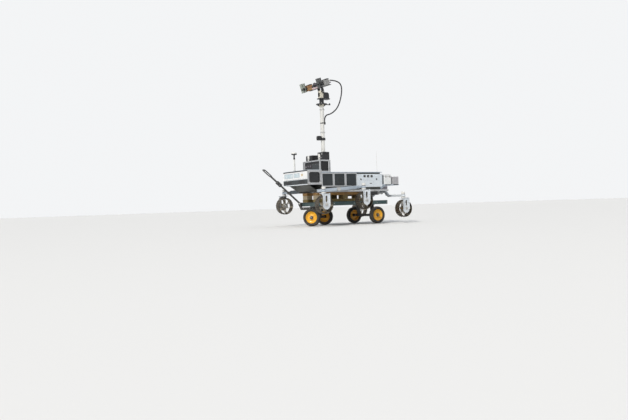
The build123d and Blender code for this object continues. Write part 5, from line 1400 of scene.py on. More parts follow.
def buildMast(look):
    # tube, flange and small camera, each turned round the mast's axis
    x, r = look["x"], look["radius"]
    centre = (x, 0, 0)
    parts = [turned([(r, 0.859), (r, 1.245), (r - 0.0006, 1.246), (r - 0.0006, 1.248), (r, 1.249), (r, 1.6),
            (r - 0.0006, 1.601), (r - 0.0006, 1.603), (r, 1.604), (r, 1.925)], centre, zAxis, 64)]
    parts.append(turned([(0.071, 0.8452), (0.072, 0.8465), (0.072, 0.8575), (0.0708, 0.859), (r, 0.859)],
            centre, zAxis, 64, 1))
    parts.append(turned([(r + 0.0002, 0.859), (r + 0.007, 0.8592), (r + 0.0055, 0.866), (r + 0.0008, 0.872)],
            centre, zAxis, 48, 1, closed=True))
    for turn in (45, 135, 225, 315):
        gusset = [(r - 0.002, 0.859), (0.064, 0.859), (0.062, 0.864), (r + 0.004, 0.927), (r - 0.002, 0.929)]
        parts += moved([plate(gusset, (-0.004, 0.004), paint=1)], turnMatrix("z", turn), centre)
    parts.append(boltRing((x, 0, 0.859), zAxis, 0.06, 8, 22.5, 0.004, 2))
    # clamp rings with their split ears
    for z in look["clamps"]:
        parts.append(turned([(r, z), (r + 0.005, z + 0.001), (r + 0.0055, z + 0.003), (r + 0.0055, z + 0.017),
                (r + 0.005, z + 0.019), (r, z + 0.02)], centre, zAxis, 48, 1, closed=True))
        parts.append(slab(x - r - 0.016, x - r - 0.002, -0.007, 0.007, z + 0.002, z + 0.018, 0.002, 0.001, 1))
        parts.append(bolts([(x - r - 0.01, -0.007, z + 0.01)], (0, -1, 0), 0.0028, 2))
    # cable clip: saddle block with its strap
    z = look["clipZ"]
    parts.append(slab(x - r - 0.024, x - r + 0.004, -0.016, 0.016, z, z + 0.0398, 0.004, 0.0015, 3))
    parts.append(turned([(r, z + 0.012), (r + 0.0025, z + 0.0125), (r + 0.0025, z + 0.0275), (r, z + 0.028)],
            centre, zAxis, 48, 3, closed=True))
    parts.append(bolts([(x - r - 0.024, 0, z + 0.01), (x - r - 0.024, 0, z + 0.03)], rearward, 0.0026, 2,
            height=0.0002))
    addPiece("mastTube", parts, "mastSilver machinedSilver boltZinc boltBlack")
    # collar and flange with its tail and knob; the collar's cream is partly painted sunlight
    low, high = look["flangeZ"], look["flangeTop"]
    flange = [turned([(0.0375, 1.925), (0.04, 1.927), (0.04, 1.957), (0.0385, 1.961)], centre, zAxis, 56),
            turned([(0.0905, low), (0.092, low + 0.0015), (0.092, high - 0.0015), (0.0905, high),
            (0.04, high)], centre, zAxis, 72, 1), slab(x - 0.165, x - 0.06, -0.015, 0.015, low, high - 0.0003,
            0.008, 0.001, 1), turned([(0.01, high - 0.001), (0.012, high + 0.002), (0.012, high + 0.012),
            (0.0112, high + 0.015), (0.0085, high + 0.0175), (0.003, high + 0.018)], (x - 0.153, 0, 0), zAxis,
            24, 3), boltRing((x, 0, high), zAxis, 0.08, 12, 0, 0.0035, 2),
            boltRing((x, 0, low), downward, 0.066, 8, 22.5, 0.0035, 2),
            bolts(circleOf((x, 0, 1.942), zAxis, 0.04, 1), xAxis, 0.003, 2)]
    for k in range(4):
        gusset = [(0.038, low), (0.082, low), (0.08, low - 0.003), (0.0395, low - 0.03), (0.038, low - 0.031)]
        flange += moved([plate(gusset, (-0.003, 0.003), paint=1)], turnMatrix("z", 45 + 90 * k), centre)
    addPiece("mastFlange", flange, "creamPaint darkMetal boltZinc boltBlack")
    # small camera on a clamp
    z = look["cameraZ"]
    eye = [turned([(r + 0.0003, z), (0.0435, z + 0.0005), (0.044, z + 0.002), (0.044, z + 0.038),
           (0.0435, z + 0.0395), (r + 0.0003, z + 0.04)], centre, zAxis, 56, 1, closed=True),
           slab(x + 0.036, x + 0.056, -0.022, 0.022, z + 0.002, z + 0.06, 0.003, 0.001, 1),
           slab(x + 0.05, x + 0.098, -0.034, 0.034, z, z + 0.07, 0.008, 0.003, along=0, steps=4),
           slab(x + 0.097, x + 0.101, -0.03, 0.03, z + 0.004, z + 0.066, 0.006, 0.001, along=0, steps=4),
           turned([(0.017, 0), (0.0205, 0.001), (0.0205, 0.011), (0.0195, 0.012), (0.016, 0.012),
           (0.015, 0.006)], (x + 0.098, 0, z + 0.035), xAxis, 40),
           turned([(0.015, 0), (0.0146, 0.0025), (0.012, 0.0048), (0.007, 0.0062), (0.002, 0.0067)],
           (x + 0.1035, 0, z + 0.035), xAxis, 32, 2), bolts(gridOf(x + 0.101, (-0.025, 0.025),
           (z + 0.009, z + 0.061)), xAxis, 0.0018, 3)]
    addPiece("localisationCamera", eye, "electronicsBlack blackPaint lensGlass boltZinc")


buildMast(mast)

# pan drive, the turning table with its black unit, and the cream tilt housing, its cream partly painted
# sunlight
panUnit = {"x": 0.36, "neckLow": 1.973, "neckTop": 2.047, "tableLow": 2.0485, "tableTop": 2.0625,
        "axis": 2.17}


def buildPanUnit(look):
    # neck, turning table and housing on the same axis
    x, low, top = look["x"], look["neckLow"], look["neckTop"]
    neck = [turned([(0.0365, low), (0.037, low + 0.001), (0.037, low + 0.01), (0.035, low + 0.012),
            (0.035, low + 0.022), (0.037, low + 0.024), (0.037, top - 0.014), (0.0355, top - 0.012),
            (0.0355, top - 0.002), (0.034, top), (0.0145, top), (0.0145, top - 0.028)], (x, 0, 0), zAxis, 64)]
    run = np.linspace(0, 1, 14)
    # rear gusset: quarter-ellipse back edge
    backX = x - 0.034 - 0.044 * (1 - np.sqrt(1 - (1 - run) ** 2))
    outline = np.concatenate([[(x - 0.02, low + 0.0005)], np.column_stack([backX,
            low + 0.0005 + run * 0.0485]), [(x - 0.02, low + 0.049)]])
    neck.append(plate(outline, (-0.006, -0.0052, 0.0052, 0.006)))
    neck.append(bolts(circleOf((x, 0, low + 0.017), zAxis, 0.035, 1), xAxis, 0.003, 1, height=0.002))
    for turn in (60, 180, 300):
        neck += moved([bolts([(0.035, 0, low + 0.017)], xAxis, 0.0028, 1, height=0.0016)],
                turnMatrix("z", turn), (x, 0, 0))
    addPiece("panDrive", neck, "blackPaint boltZinc")
    low, top, axis = look["tableLow"], look["tableTop"], look["axis"]
    table = [slab(x - 0.14, x + 0.062, -0.052, 0.052, low, top, 0.016, 0.0015, steps=6),
            turned([(0.0135, 2.019), (0.014, 2.02), (0.014, low)], (x, 0, 0), zAxis),
            bolts([(x + dx, s * 0.0455, top) for dx in (-0.125, -0.075, 0.005, 0.05) for s in (-1, 1)], zAxis,
            0.003, 1)]
    # black unit: rounded rear, cooling ribs on its sides, cover screws and two sockets
    back, front, high = x - 0.125, x - 0.0205, axis - 0.01
    bend = np.linspace(0, pi / 2, 9)
    outline = np.concatenate([[(front, top), (front, high - 0.002), (front - 0.002, high)],
            np.column_stack([back + 0.034 - 0.034 * np.sin(bend), high - 0.034 + 0.034 * np.cos(bend)]),
            [(back, top + 0.004), (back + 0.004, top)]])
    table.append(plate(outline, (-0.0365, 0.0365)))
    middle = np.array([x - 0.073, 2.1115])
    inner = middle + (outline - middle) * 0.93
    for s in (-1, 1):
        table.append(layers([(inner, 0.0355), (inner, 0.0385), (middle + (inner - middle) * 0.97, 0.039)],
                side=s))
        table.append(bolts([(x - 0.112, s * 0.0388, 2.072), (x - 0.03, s * 0.0388, 2.072),
                (x - 0.03, s * 0.0388, 2.15), (x - 0.088, s * 0.0388, 2.146)], (0, s, 0), 0.0024, 1,
                height=0.0002))
    for y in (-0.018, 0.018):
        table.append(turned([(0.0115, 0), (0.0115, 0.002), (0.009, 0.003), (0.009, 0.012), (0.007, 0.013)],
                (back + 0.001, y, 2.092), rearward, 24, 2))
    for k in range(7):
        table.append(slab(front - 0.01 - k * 0.008, front - 0.006 - k * 0.008, -0.03, 0.03, high - 0.001,
                high + 0.0002, 0.001, 0.0004))
    addPiece("panTable", table, "blackPaint boltZinc connectorMetal", body="pan_yoke", replaces=["pan_yoke"])
    # cream housing: rounded casting with side bosses and its pin; its cream is partly its own pale colour and
    # partly painted sunlight
    x0, x1 = x - 0.02, x + 0.046
    house = [slab(x0, x1, -0.0365, 0.0365, top, axis + 0.014, 0.01, 0.004, steps=5),
            slab(x0 + 0.001, x1 - 0.001, -0.0372, 0.0372, top, top + 0.014, 0.009, 0.002, steps=5)]
    for s in (-1, 1):
        house.append(turned([(0.0138, 0.0355), (0.0136, 0.038), (0.0125, 0.039), (0.01, 0.039)], (x, 0, axis),
                (0, s, 0), 48))
        house.append(turned([(0.009, 0.03), (0.009, 0.0575), (0.008, 0.0585)], (x, 0, axis), (0, s, 0), 32,
                1))
        house.append(bolts([(x + dx, s * 0.0365, z) for dx in (-0.012, 0.038) for z in (2.09, 2.14)],
                (0, s, 0), 0.0026, 2))
    house.append(slab(x1 - 0.001, x1, -0.026, 0.026, 2.084, 2.15, 0.006, 0.0004, along=0))
    house.append(bolts(gridOf(x1 - 0.0016, (-0.026, 0.026), (2.08, 2.158)), xAxis, 0.0024, 2, height=0.0014))
    addPiece("tiltHousing", house, "creamPaint machinedSilver boltZinc", body="pan_yoke")


buildPanUnit(panUnit)
print("mast and pan unit built")

# camera head: bench with two cheeks, and three cameras, all tipped back together
head = {"slots": (-0.165, -0.105, 0.105, 0.165), "pivot": (0.36, 0, 2.17), "tip": 17.0,
        "bench": (0.036, 0.286, 0.06, 0.07), "cheeks": (0.0445, 0.0545), "boss": 0.024, "bore": 0.00905,
        "unitY": 0.25, "body": (-0.012, 0.094, 0.032, 0.07, 0.162), "lensZ": 0.116, "barrel": 0.024}
onHead = {"turn": turnMatrix("y", head["tip"]), "to": head["pivot"]}


def buildBench(look):
    # bench and its two cheeks, laid out level and then tipped with the head
    halfX, halfY, low, top = look["bench"]
    cheekIn, cheekOut = look["cheeks"]
    parts = [slab(-halfX, halfX, -halfY, halfY, low, top, 0.01)]
    # pressed slots along the bench between its fixings
    for y in look["slots"]:
        loop = roundedLoop(0.0085, 0.022, 0.0084, 6)
        parts.append(pierced(shifted(loop, 0.0028), loop, top - 0.0005, top + 0.0012, 0.0003,
                onPlane(2, 0, y)))
    # cheek: half a circle about the pin below, square above; distance = the nearer of side and top
    ray = rays(64)
    reach = np.where(ray[:, 1] > 0, np.minimum(look["boss"] / np.maximum(np.abs(ray[:, 0]), 1e-6),
            low / np.maximum(ray[:, 1], 1e-6)), look["boss"])
    for side in (-1, 1):
        parts.append(pierced(ray * reach[:, None], ray * look["bore"], cheekIn, cheekOut, 0.0008,
                onPlane(1, side=side)))
        parts.append(turned([(0.013, cheekOut - 0.0005), (0.0185, cheekOut - 0.0005),
                (0.018, cheekOut + 0.0018), (0.0135, cheekOut + 0.0018)], (0, 0, 0), (0, side, 0), 48,
                closed=True))
        parts.append(bolts(gridOf((-0.014, 0.014), side * cheekOut, 0.044), (0, side, 0), 0.0026, 1))
        parts.append(bolts([(x, side * y, top) for x in (-0.026, 0.026) for y in (0.06, 0.21, 0.278)], zAxis,
                0.0026, 1, height=0.001))
    addPiece("headBench", moved(parts, **onHead), "blackPaint boltZinc", body="head")


def buildCameras(look):
    # body and hood at each end of the bench, laid out level and then tipped with the head
    x0, x1, half, low, top = look["body"]
    for name, side, paints in (("Left", 1, "cameraGrey blackPaint boltZinc connectorMetal cameraGrey"),
                               ("Right", -1, "cameraBrown blackPaint boltZinc connectorMetal brownEdge")):
        y = side * look["unitY"]
        unit = [slab(x0, x1, y - half + 0.001, y + half - 0.001, low + 0.0002, top, 0.005, 0.002, along=0,
                steps=4)]
        # end and side plates take the fifth paint; on the right camera that is the lighter brown of a painted
        # highlight
        for x in (x0 + 0.001, x1 - 0.011):
            unit.append(slab(x, x + 0.01, y - half, y + half, low + 0.0002, top, 0.005, 0.001, 4, along=0))
        for s in (-1, 1):
            # side plates, ribs and screws
            unit.append(slab(x0 + 0.02, x1 - 0.022, y + s * (half - 0.002), y + s * half, low + 0.01,
                    low + 0.04, 0.003, 0.0006, 4, along=1))
            unit += [slab(x0 + 0.016 + k * 0.0085, x0 + 0.0195 + k * 0.0085, y + s * (half - 0.002),
                    y + s * half, low + 0.048, top - 0.008, 0.001, 0.0006, along=1) for k in range(8)]
            unit.append(bolts(gridOf((x0 + 0.006, x1 - 0.006), y + s * half, (low + 0.008, top - 0.008)),
                    (0, s, 0), 0.002, 2, height=0.0004))
            unit.append(bolts(gridOf((x0 + 0.026, x1 - 0.028), y + s * half, low + 0.025), (0, s, 0), 0.0018,
                    2, height=0.0004))
        # curved black cover over the top
        run = np.linspace(0, 1, 17)
        arc = np.column_stack([-0.02 + run * 0.122, 0.1645 + 0.0095 * np.sin(pi * np.clip(run * 1.15, 0,
                1)) ** 0.7])
        outline = np.concatenate([arc, [(0.102, 0.1622), (-0.02, 0.1622)]])
        unit.append(web(outline, y, half, 1))
        # sockets on the back: collar, ring nut, plug and a tapered boot towards the cable
        for z, paintRing in ((0.102, 3), (0.132, 2)):
            unit.append(turned([(0.0118, 0), (0.012, 0.0006), (0.012, 0.008), (0.01, 0.009), (0.01, 0.012),
                    (0.0116, 0.0125), (0.0116, 0.0265), (0.0105, 0.028), (0.0108, 0.037), (0.0098, 0.044)],
                    (x0, y, z), rearward, 28, paintRing))
            unit.append(bolts([(x0, y + dy, z + dz) for dy in (-0.016, 0.016) for dz in (-0.0105, 0.0105)],
                    rearward, 0.0016, 2))
        if side > 0:
            unit.append(turned([(0.0112, 0.039), (0.0118, 0.041), (0.0108, 0.0464), (0.0102, 0.0468)],
                    (x0, y, 0.132), rearward, 28, 1))
        addPiece("camera" + name, moved(unit, **onHead), paints, body="head",
                replaces=["camera_bodies"] if side > 0 else [])
        # hood: barrel with its rings and lens, and two plates across it
        z, barrel = look["lensZ"], look["barrel"]
        hood = [turned([(barrel - 0.001, 0), (barrel, 0.001), (barrel, 0.026), (barrel - 0.002, 0.028),
                (barrel - 0.002, 0.048), (barrel, 0.05), (barrel, 0.082), (barrel - 0.001, 0.084),
                (barrel - 0.004, 0.084), (barrel - 0.005, 0.07)], (x1, y, z), xAxis, 48, 1),
                turned([(0.0188, 0), (0.018, 0.003), (0.014, 0.0055), (0.008, 0.007), (0.002, 0.0075)],
                (x1 + 0.072, y, z), xAxis, 40, 2)]
        # whole plate behind, and one with a round opening in front: distance = the nearer of side and end
        hood.append(slab(0.128, 0.136, y - 0.0352, y + 0.0352, 0.0628, 0.2112, 0.003, 0.0008, along=0))
        ray = rays(48, pi / 4)
        ends = np.where(ray[:, 1] > 0, 0.0952, 0.0532) / np.maximum(np.abs(ray[:, 1]), 1e-6)
        reach = np.minimum(0.0352 / np.maximum(np.abs(ray[:, 0]), 1e-6), ends)
        hood.append(pierced(ray * reach[:, None], ray * 0.0185, 0.178, 0.186, 0.0006, onPlane(0, y, z)))
        for x, high in ((0.128, 0.0015), (0.178, 0.0004)):
            # dark frame strips and screws round the plate
            for s in (-1, 1):
                hood.append(slab(x - 0.0001, x + 0.0079, y + s * 0.0345, y + s * 0.036, 0.0625, 0.2115,
                        0.0006, 0.0003, 1))
                hood.append(bolts(gridOf(x + 0.008, y + s * 0.028, (0.07, 0.204)), xAxis, 0.0018, 3,
                        height=high))
            hood.append(slab(x - 0.0001, x + 0.0079, y - 0.0345, y + 0.0345, 0.21, 0.212, 0.0008, 0.0004, 1,
                    along=1))
        addPiece("hood" + name, moved(hood, **onHead), ("plateGlass" if side < 0 else "smokedPlate")
                + " blackPaint lensGlass boltZinc", body="head",
                replaces=["camera_hoods"] if side > 0 else [])


middleCamera = {"rear": -0.036, "front": 0.134, "half": 0.03, "eyes": (-0.0145, 0.0145), "eyeZ": 0.112}


def buildMiddleCamera(look):
    # two stacked cases, the fin over them and a pair of lenses
    rear, front, half = look["rear"], look["front"], look["half"]
    parts = [slab(rear, front, 0.0005 - half, half - 0.0005, 0.0702, 0.098, 0.006, 0.002, 2, along=0,
            steps=4), slab(rear, front, -half, half, 0.0985, 0.126, 0.006, 0.002, along=0, steps=4),
            slab(-0.03, 0.128, -0.0292, 0.0292, 0.0965, 0.1, 0.003, 0.0004, 1, along=0)]
    fin = np.array([(0.134, 0.1255), (0.044, 0.1255), (0.044, 0.148), (0.048, 0.1515), (0.087, 0.1695),
            (0.092, 0.168)])
    parts.append(web(fin, 0, 0.015))
    parts.append(web(np.array([(0.062, 0.134), (0.114, 0.134), (0.09, 0.158), (0.066, 0.148)]), 0, 0.0155, 1))
    for y in look["eyes"]:
        parts.append(turned([(0.0105, 0), (0.0115, 0.001), (0.0115, 0.0085), (0.0095, 0.0095),
                (0.008, 0.004)], (0.1245, y, look["eyeZ"]), xAxis))
        parts.append(turned([(0.0082, 0), (0.006, 0.0022), (0.002, 0.003)], (0.1285, y, look["eyeZ"]), xAxis,
                24, 3))
        parts.append(bolts(gridOf((-0.026, 0.03, 0.084), y * 2.069, 0.112), (0, 1 if y > 0 else -1, 0), 0.002,
                4, height=0.0002))
    parts += [turned([(0.0075, 0), (0.0075, 0.0015), (0.006, 0.0018), (0.006, 0.0006)], (-0.0345, y, 0.1),
            rearward, 24, 1) for y in (-0.014, 0.014)]
    addPiece("middleCamera", moved(parts, **onHead), "blackPaint connectorMetal pinkWhite lensGlass boltZinc",
            body="head")


buildBench(head)
buildCameras(head)
buildMiddleCamera(middleCamera)

# cart under the rover: frame, deck, axles and wheels
cart = {"lugs": (-0.554, -0.24, 0.22, 0.54), "rear": -0.654, "front": 0.64, "half": 0.345, "deckLow": 0.376,
        "deckTop": 0.38, "railY": 0.325, "railWide": 0.04, "frameLow": 0.316,
        "bars": (-0.634, -0.44, 0.02, 0.4, 0.62), "pinX": 0.49, "rearX": -0.44, "wheelZ": 0.14,
        "steer": -50.0}


def buildCartFrame(look):
    # rails, cross bars and turntable plate, and the pressed deck
    deckLow, bars, half, deckTop, rear, front, railY = (look[key]
            for key in ("deckLow", "bars", "half", "deckTop", "rear", "front", "railY"))
    low, top, wide = look["frameLow"], deckLow, look["railWide"] / 2
    parts = []
    for s in (-1, 1):
        parts.append(slab(rear, front, s * railY - wide, s * railY + wide, low, top, 0.005, 0.0015, along=0))
        parts.append(bolts(gridOf(bars, s * (railY + wide), 0.346), (0, s, 0), 0.0048, 1, height=0.0002))
        for x in look["lugs"]:
            # tie-down lugs under the rails
            parts.append(slab(x - 0.02, x + 0.02, s * railY - 0.004, s * railY + 0.004, low, low + 0.01,
                    0.003, 0.001, along=1))
    for x in bars:
        parts.append(slab(x - wide, x + wide, -railY + wide - 0.001, railY - wide + 0.001, low, top, 0.005,
                0.0015, along=1))
        for s in (-1, 1):
            bead = [(x - wide, s * (railY - wide), z) for z in np.linspace(low + 0.004, top - 0.004, 9)]
            parts.append(swept(roundedLoop(0.0022, 0.0022, 0.0021, 2), bead, upward=xAxis))
    parts.append(slab(0.4, 0.62, -0.09, 0.09, low, top, 0.006, 0.0015))
    parts.append(turned([(0.128, 0.3082), (0.13, 0.309), (0.13, 0.3152), (0.128, 0.3162), (0.016, 0.3162),
            (0.0145, 0.315), (0.0145, 0.3095), (0.0155, 0.3082)], (look["pinX"], 0, 0), zAxis, 80,
            closed=True))
    parts.append(boltRing((look["pinX"], 0, 0.3082), downward, 0.112, 8, 22.5, 0.0038, 1, height=0.0004))
    addPiece("cartFrame", parts, "cartTeal boltZinc")
    # deck: pressed sheet with shallow ribs along its length and a rolled rim
    x = np.concatenate([[rear], np.linspace(rear + 0.002, front - 0.002, 60), [front]])
    y = np.linspace(-half, half, 139)
    ribs = np.clip(np.cos(y * 2 * pi / 0.115) * 3 - 1.4, 0, 1)
    inside = np.clip((x - rear - 0.04) / 0.03, 0, 1) * np.clip((front - 0.04 - x) / 0.03, 0, 1)
    height = deckTop - 0.0022 * ribs[None, :] * inside[:, None]
    top = np.stack([np.repeat(x[:, None], len(y), 1), np.repeat(y[None], len(x), 0), height], -1)
    under = top.copy()
    under[..., 2] -= 0.0025
    sheet = np.concatenate([top, under[:, ::-1]], 1)
    rim = [slab(rear, front, s * (half - 0.003), s * half, deckLow + 0.0002, deckTop, 0.0014, 0.0006, along=0)
           for s in (-1, 1)]
    rim += [slab(x0, x0 + 0.003, -half, half, deckLow + 0.0002, deckTop, 0.0014, 0.0006, along=1)
            for x0 in (rear, front - 0.003)]
    under = [slab(x - wide, x + wide, -railY, railY, deckLow + 0.0001, deckLow + 0.0008, 0.003, 0.0002)
            for x in bars]
    screws = bolts([(x, s * railY, deckTop - 0.001) for x in bars for s in (-1, 1)], zAxis, 0.004, 1,
            height=0.001)
    addPiece("cartDeck", [surface(sheet, caps=(True, True))] + rim + under + [screws], "cartTeal boltZinc")


def axleParts():
    # straight axle along y at wheel height: rod, square beam, spring seats and two pairs of hanger plates
    z = cart["wheelZ"]
    parts = [turned([(0.009, -0.375), (0.01, -0.374), (0.01, 0.374), (0.009, 0.375)], (0, 0, z), yAxis, 28,
            1), slab(-0.02, 0.02, -0.25, 0.25, z - 0.02, z + 0.02, along=1)]
    for s in (-1, 1):
        parts.append(turned([(0.0145, 0.249), (0.0165, 0.25), (0.0165, 0.258), (0.014, 0.26), (0.0105, 0.286),
                (0.0103, 0.2875)], (0, 0, z), (0, s, 0), 28, 1))
        parts.append(turned([(0.015, 0.3675), (0.015, 0.3695), (0.0125, 0.37), (0.0125, 0.3745),
                (0.009, 0.375)], (0, 0, z), (0, s, 0), 6, 1))
    return parts


def hanger(middle, half, thin, z, top, foot):
    # plate that narrows towards the axle, with a round end and a lightening hole below its top edge
    outline = [(-half, top), (half, top), (half, top - 0.03), (foot, z + 0.03)]
    bend = np.linspace(0, pi, 11)
    outline += [(foot * cos(a), z - foot * sin(a)) for a in bend] + [(-foot, z + 0.03), (-half, top - 0.03)]
    return web(np.array(outline)[::-1], middle, thin)


def buildAxles(look):
    # rear axle as it stands, front axle turned by its steering angle
    frameLow = look["frameLow"]
    z = look["wheelZ"]
    parts = axleParts()
    for s in (-1, 1):
        parts.append(hanger(s * 0.195, 0.04, 0.005, z, frameLow, 0.024))
        parts.append(bolts(gridOf((-0.03, 0.03), s * 0.2, 0.3), (0, s, 0), 0.0045, 1))
        parts.append(slab(-0.04, 0.04, s * 0.185, s * 0.225, frameLow - 0.006, frameLow, 0.003, 0.001))
    addPiece("cartRearAxle", moved(parts, None, (look["rearX"], 0, 0)), "cartBlack boltZinc")
    # front axle: turning disc on its kingpin, hangers, and the fork for the drawbar
    parts = axleParts()
    parts.append(turned([(0.128, 0.2992), (0.13, 0.3), (0.13, 0.3064), (0.128, 0.3072), (0.014, 0.3072),
            (0.014, 0.343), (0.013, 0.344)], (0, 0, 0), zAxis, 80))
    for s in (-1, 1):
        parts.append(hanger(s * 0.095, 0.04, 0.005, z, 0.2993, 0.024))
        fork = np.array([(0.06, 0.3032), (0.284, 0.3032), (0.286, 0.3052), (0.286, 0.374), (0.289, 0.3805),
                (0.296, 0.383), (0.32, 0.383), (0.327, 0.38), (0.33, 0.373), (0.33, 0.347), (0.29, 0.263),
                (0.282, 0.2592), (0.06, 0.2592)])
        parts.append(web(fork[::-1], s * 0.026, 0.004))
        parts.append(turned([(0.0135, 0), (0.0135, 0.0018), (0.0105, 0.0024), (0.0105, 0.0052),
                (0.0085, 0.006)], (0.31, s * 0.03, 0.365), (0, s, 0), 24, 1))
        parts.append(bolts(gridOf((0.085, 0.135, 0.24), s * 0.03, 0.281), (0, s, 0), 0.004, 1))
    parts.append(turned([(0.0075, -0.03), (0.008, -0.0295), (0.008, 0.0295), (0.0075, 0.03)],
            (0.31, 0, 0.365), yAxis, 28, 1))
    parts.append(slab(0.06, 0.068, -0.0225, 0.0225, 0.2595, 0.303, 0.002, 0.001, along=0))
    parts.append(slab(0.15, 0.158, -0.0225, 0.0225, 0.264, 0.299, 0.002, 0.001, along=0))
    addPiece("cartFrontAxle", moved(parts, turnMatrix("z", look["steer"]), (look["pinX"], 0, 0)),
            "cartBlack boltZinc", body="cart_front_axle")


cartWheel = {"tyre": 0.14, "rim": 0.092, "rimHalf": 0.029, "lip": 0.084, "dish": 0.02, "dishFoot": 0.044,
        "hub": 0.024, "hubHalf": 0.037, "bore": 0.0101, "lugs": 34, "groove": 0.0042}


def cartTyre(look):
    # section turned round the axle; tread height = crown - groove where a lug gap or a rim groove falls
    rim, outer = look["rim"] + 0.0003, look["tyre"]
    wall = np.array([(rim, 0.0255), (rim + 0.003, 0.0295), (0.1, 0.033), (0.104, 0.0375), (0.1045, 0.0385),
            (0.1055, 0.039), (0.112, 0.0412), (0.119, 0.042), (0.1255, 0.0412), (0.1265, 0.0414),
            (0.1275, 0.0404), (0.132, 0.0375)])
    crown = np.linspace(0.0345, -0.0345, 25)
    top = np.column_stack([outer - 0.0048 * (np.abs(crown) / 0.0345) ** 2.2, crown])
    section = np.concatenate([wall, top, wall[::-1] * [1, -1], [(rim, 0)]])
    columns = look["lugs"] * 8
    angle = np.arange(columns) / columns * 2 * pi
    radius = np.repeat(section[:, :1], columns, 1)
    width = np.repeat(section[:, 1:], columns, 1)
    phase = (np.arange(columns) / 8) % 1
    lane = section[:, 1]
    shift = np.where(lane > 0, 0.0, 0.5)[:, None] + 6.0 * np.abs(lane)[:, None]
    gap = np.clip(1.6 - np.abs(((phase[None] + shift) % 1) - 0.5) * 9, 0, 1) * (np.abs(lane)[:, None] > 0.01)
    seam = np.clip(1.7 - np.abs(np.abs(lane) - 0.0105) / 0.0017, 0, 1)[:, None]
    tread = (section[:, 0] > 0.13)[:, None]
    radius = radius - look["groove"] * tread * np.maximum(gap, seam * 0.9)
    points = np.stack([radius * np.cos(angle), width, radius * np.sin(angle)], -1)
    return surface(points, closeRows=True)


def cartRim(look):
    # outer side towards +y: rolled lips, conical dish, hub; the back is a deeper hollow
    rim, half, lip = look["rim"], look["rimHalf"], look["lip"]
    foot, dish = look["dishFoot"], half - look["dish"]
    outer = [(rim - 0.0012, -half), (rim, -half + 0.0012), (rim, -half + 0.006), (rim - 0.004, -half + 0.009),
            (rim - 0.006, -0.006), (rim - 0.006, 0.006), (rim - 0.004, half - 0.009), (rim, half - 0.006),
            (rim, half - 0.0012), (rim - 0.0012, half), (lip + 0.0012, half), (lip, half - 0.0012),
            (lip - 0.003, half - 0.006), (lip - 0.012, dish + 0.007), (lip - 0.02, dish + 0.002),
            (foot + 0.01, dish), (foot, dish + 0.0015), (foot - 0.006, dish + 0.005),
            (look["hub"] + 0.006, dish + 0.006), (look["hub"] + 0.002, dish + 0.007)]
    back = [(look["hub"] + 0.002, dish + 0.001), (look["hub"] + 0.006, dish), (foot - 0.006, dish - 0.001),
            (foot, dish - 0.0045), (foot + 0.01, dish - 0.006), (lip - 0.02, dish - 0.004),
            (lip - 0.012, dish + 0.001), (lip - 0.006, dish - 0.002), (lip - 0.001, -0.01),
            (lip - 0.001, -half + 0.006), (lip + 0.0012, -half)]
    parts = [turned(outer + back, (0, 0, 0), yAxis, 72, closed=True)]
    hub, bore, deep = look["hub"], look["bore"], look["hubHalf"]
    # hub in the second paint, black: partly its own colour, partly painted shade of the shadowed hole in the
    # hub
    parts.append(turned([(bore, -deep), (hub - 0.004, -deep), (hub - 0.003, -deep + 0.001),
            (hub - 0.002, -0.006), (hub + 0.0025, 0.0), (hub + 0.0025, dish + 0.009), (hub, dish + 0.01),
            (hub - 0.001, deep - 0.003), (hub - 0.003, deep - 0.0005), (bore + 0.004, deep), (bore, deep)],
            (0, 0, 0), yAxis, 48, 1, closed=True))
    parts.append(boltRing((0, dish + 0.0055, 0), yAxis, 0.034, 4, 45, 0.0038, 2, height=0.004))
    parts.append(turned([(0.0028, 0), (0.0028, 0.01), (0.002, 0.011), (0.002, 0.014)],
            (0.068, dish + 0.002, 0), (0.25, 1, 0), 12, 1))
    return parts


def buildCartWheels(look):
    # tyre and rim spun by an angle of their own, mirrored on the right, turned with the front axle
    tyreShape, rimShape = cartTyre(look), cartRim(look)
    frontTurn = turnMatrix("z", cart["steer"])
    for where, turn, x in (("rear", None, cart["rearX"]), ("front", frontTurn, cart["pinX"])):
        for name, side in (("left", 1), ("right", -1)):
            local = np.array([0, side * 0.33, cart["wheelZ"]])
            place = (frontTurn @ local if turn is not None else local) + [x, 0, 0]
            spin = turnMatrix("y", {"left": 40, "right": 115}[name] + x * 70)
            placed = [moved(moved(shape, spin, mirror=side < 0), turn, place)
                    for shape in ([tyreShape], rimShape)]
            body = "cart_wheel_" + where + "_" + name
            addPiece("cartTyre_" + where + "_" + name, placed[0], "tyreRubber", body=body,
                    replaces=["cart_tyre_" + where + "_" + name], sharp=50)
            addPiece("cartRim_" + where + "_" + name, placed[1], "cartYellow cartBlack boltZinc", body=body,
                    replaces=["cart_rim_" + where + "_" + name])


# drawbar: round bar with its eye, T block and handle loop
drawbar = {"lift": 43.0, "radius": 0.015, "eye": 0.018, "length": 0.66, "root": (0.31, 0, 0.365),
        "block": (0.4405, 0.5395, 0.027)}


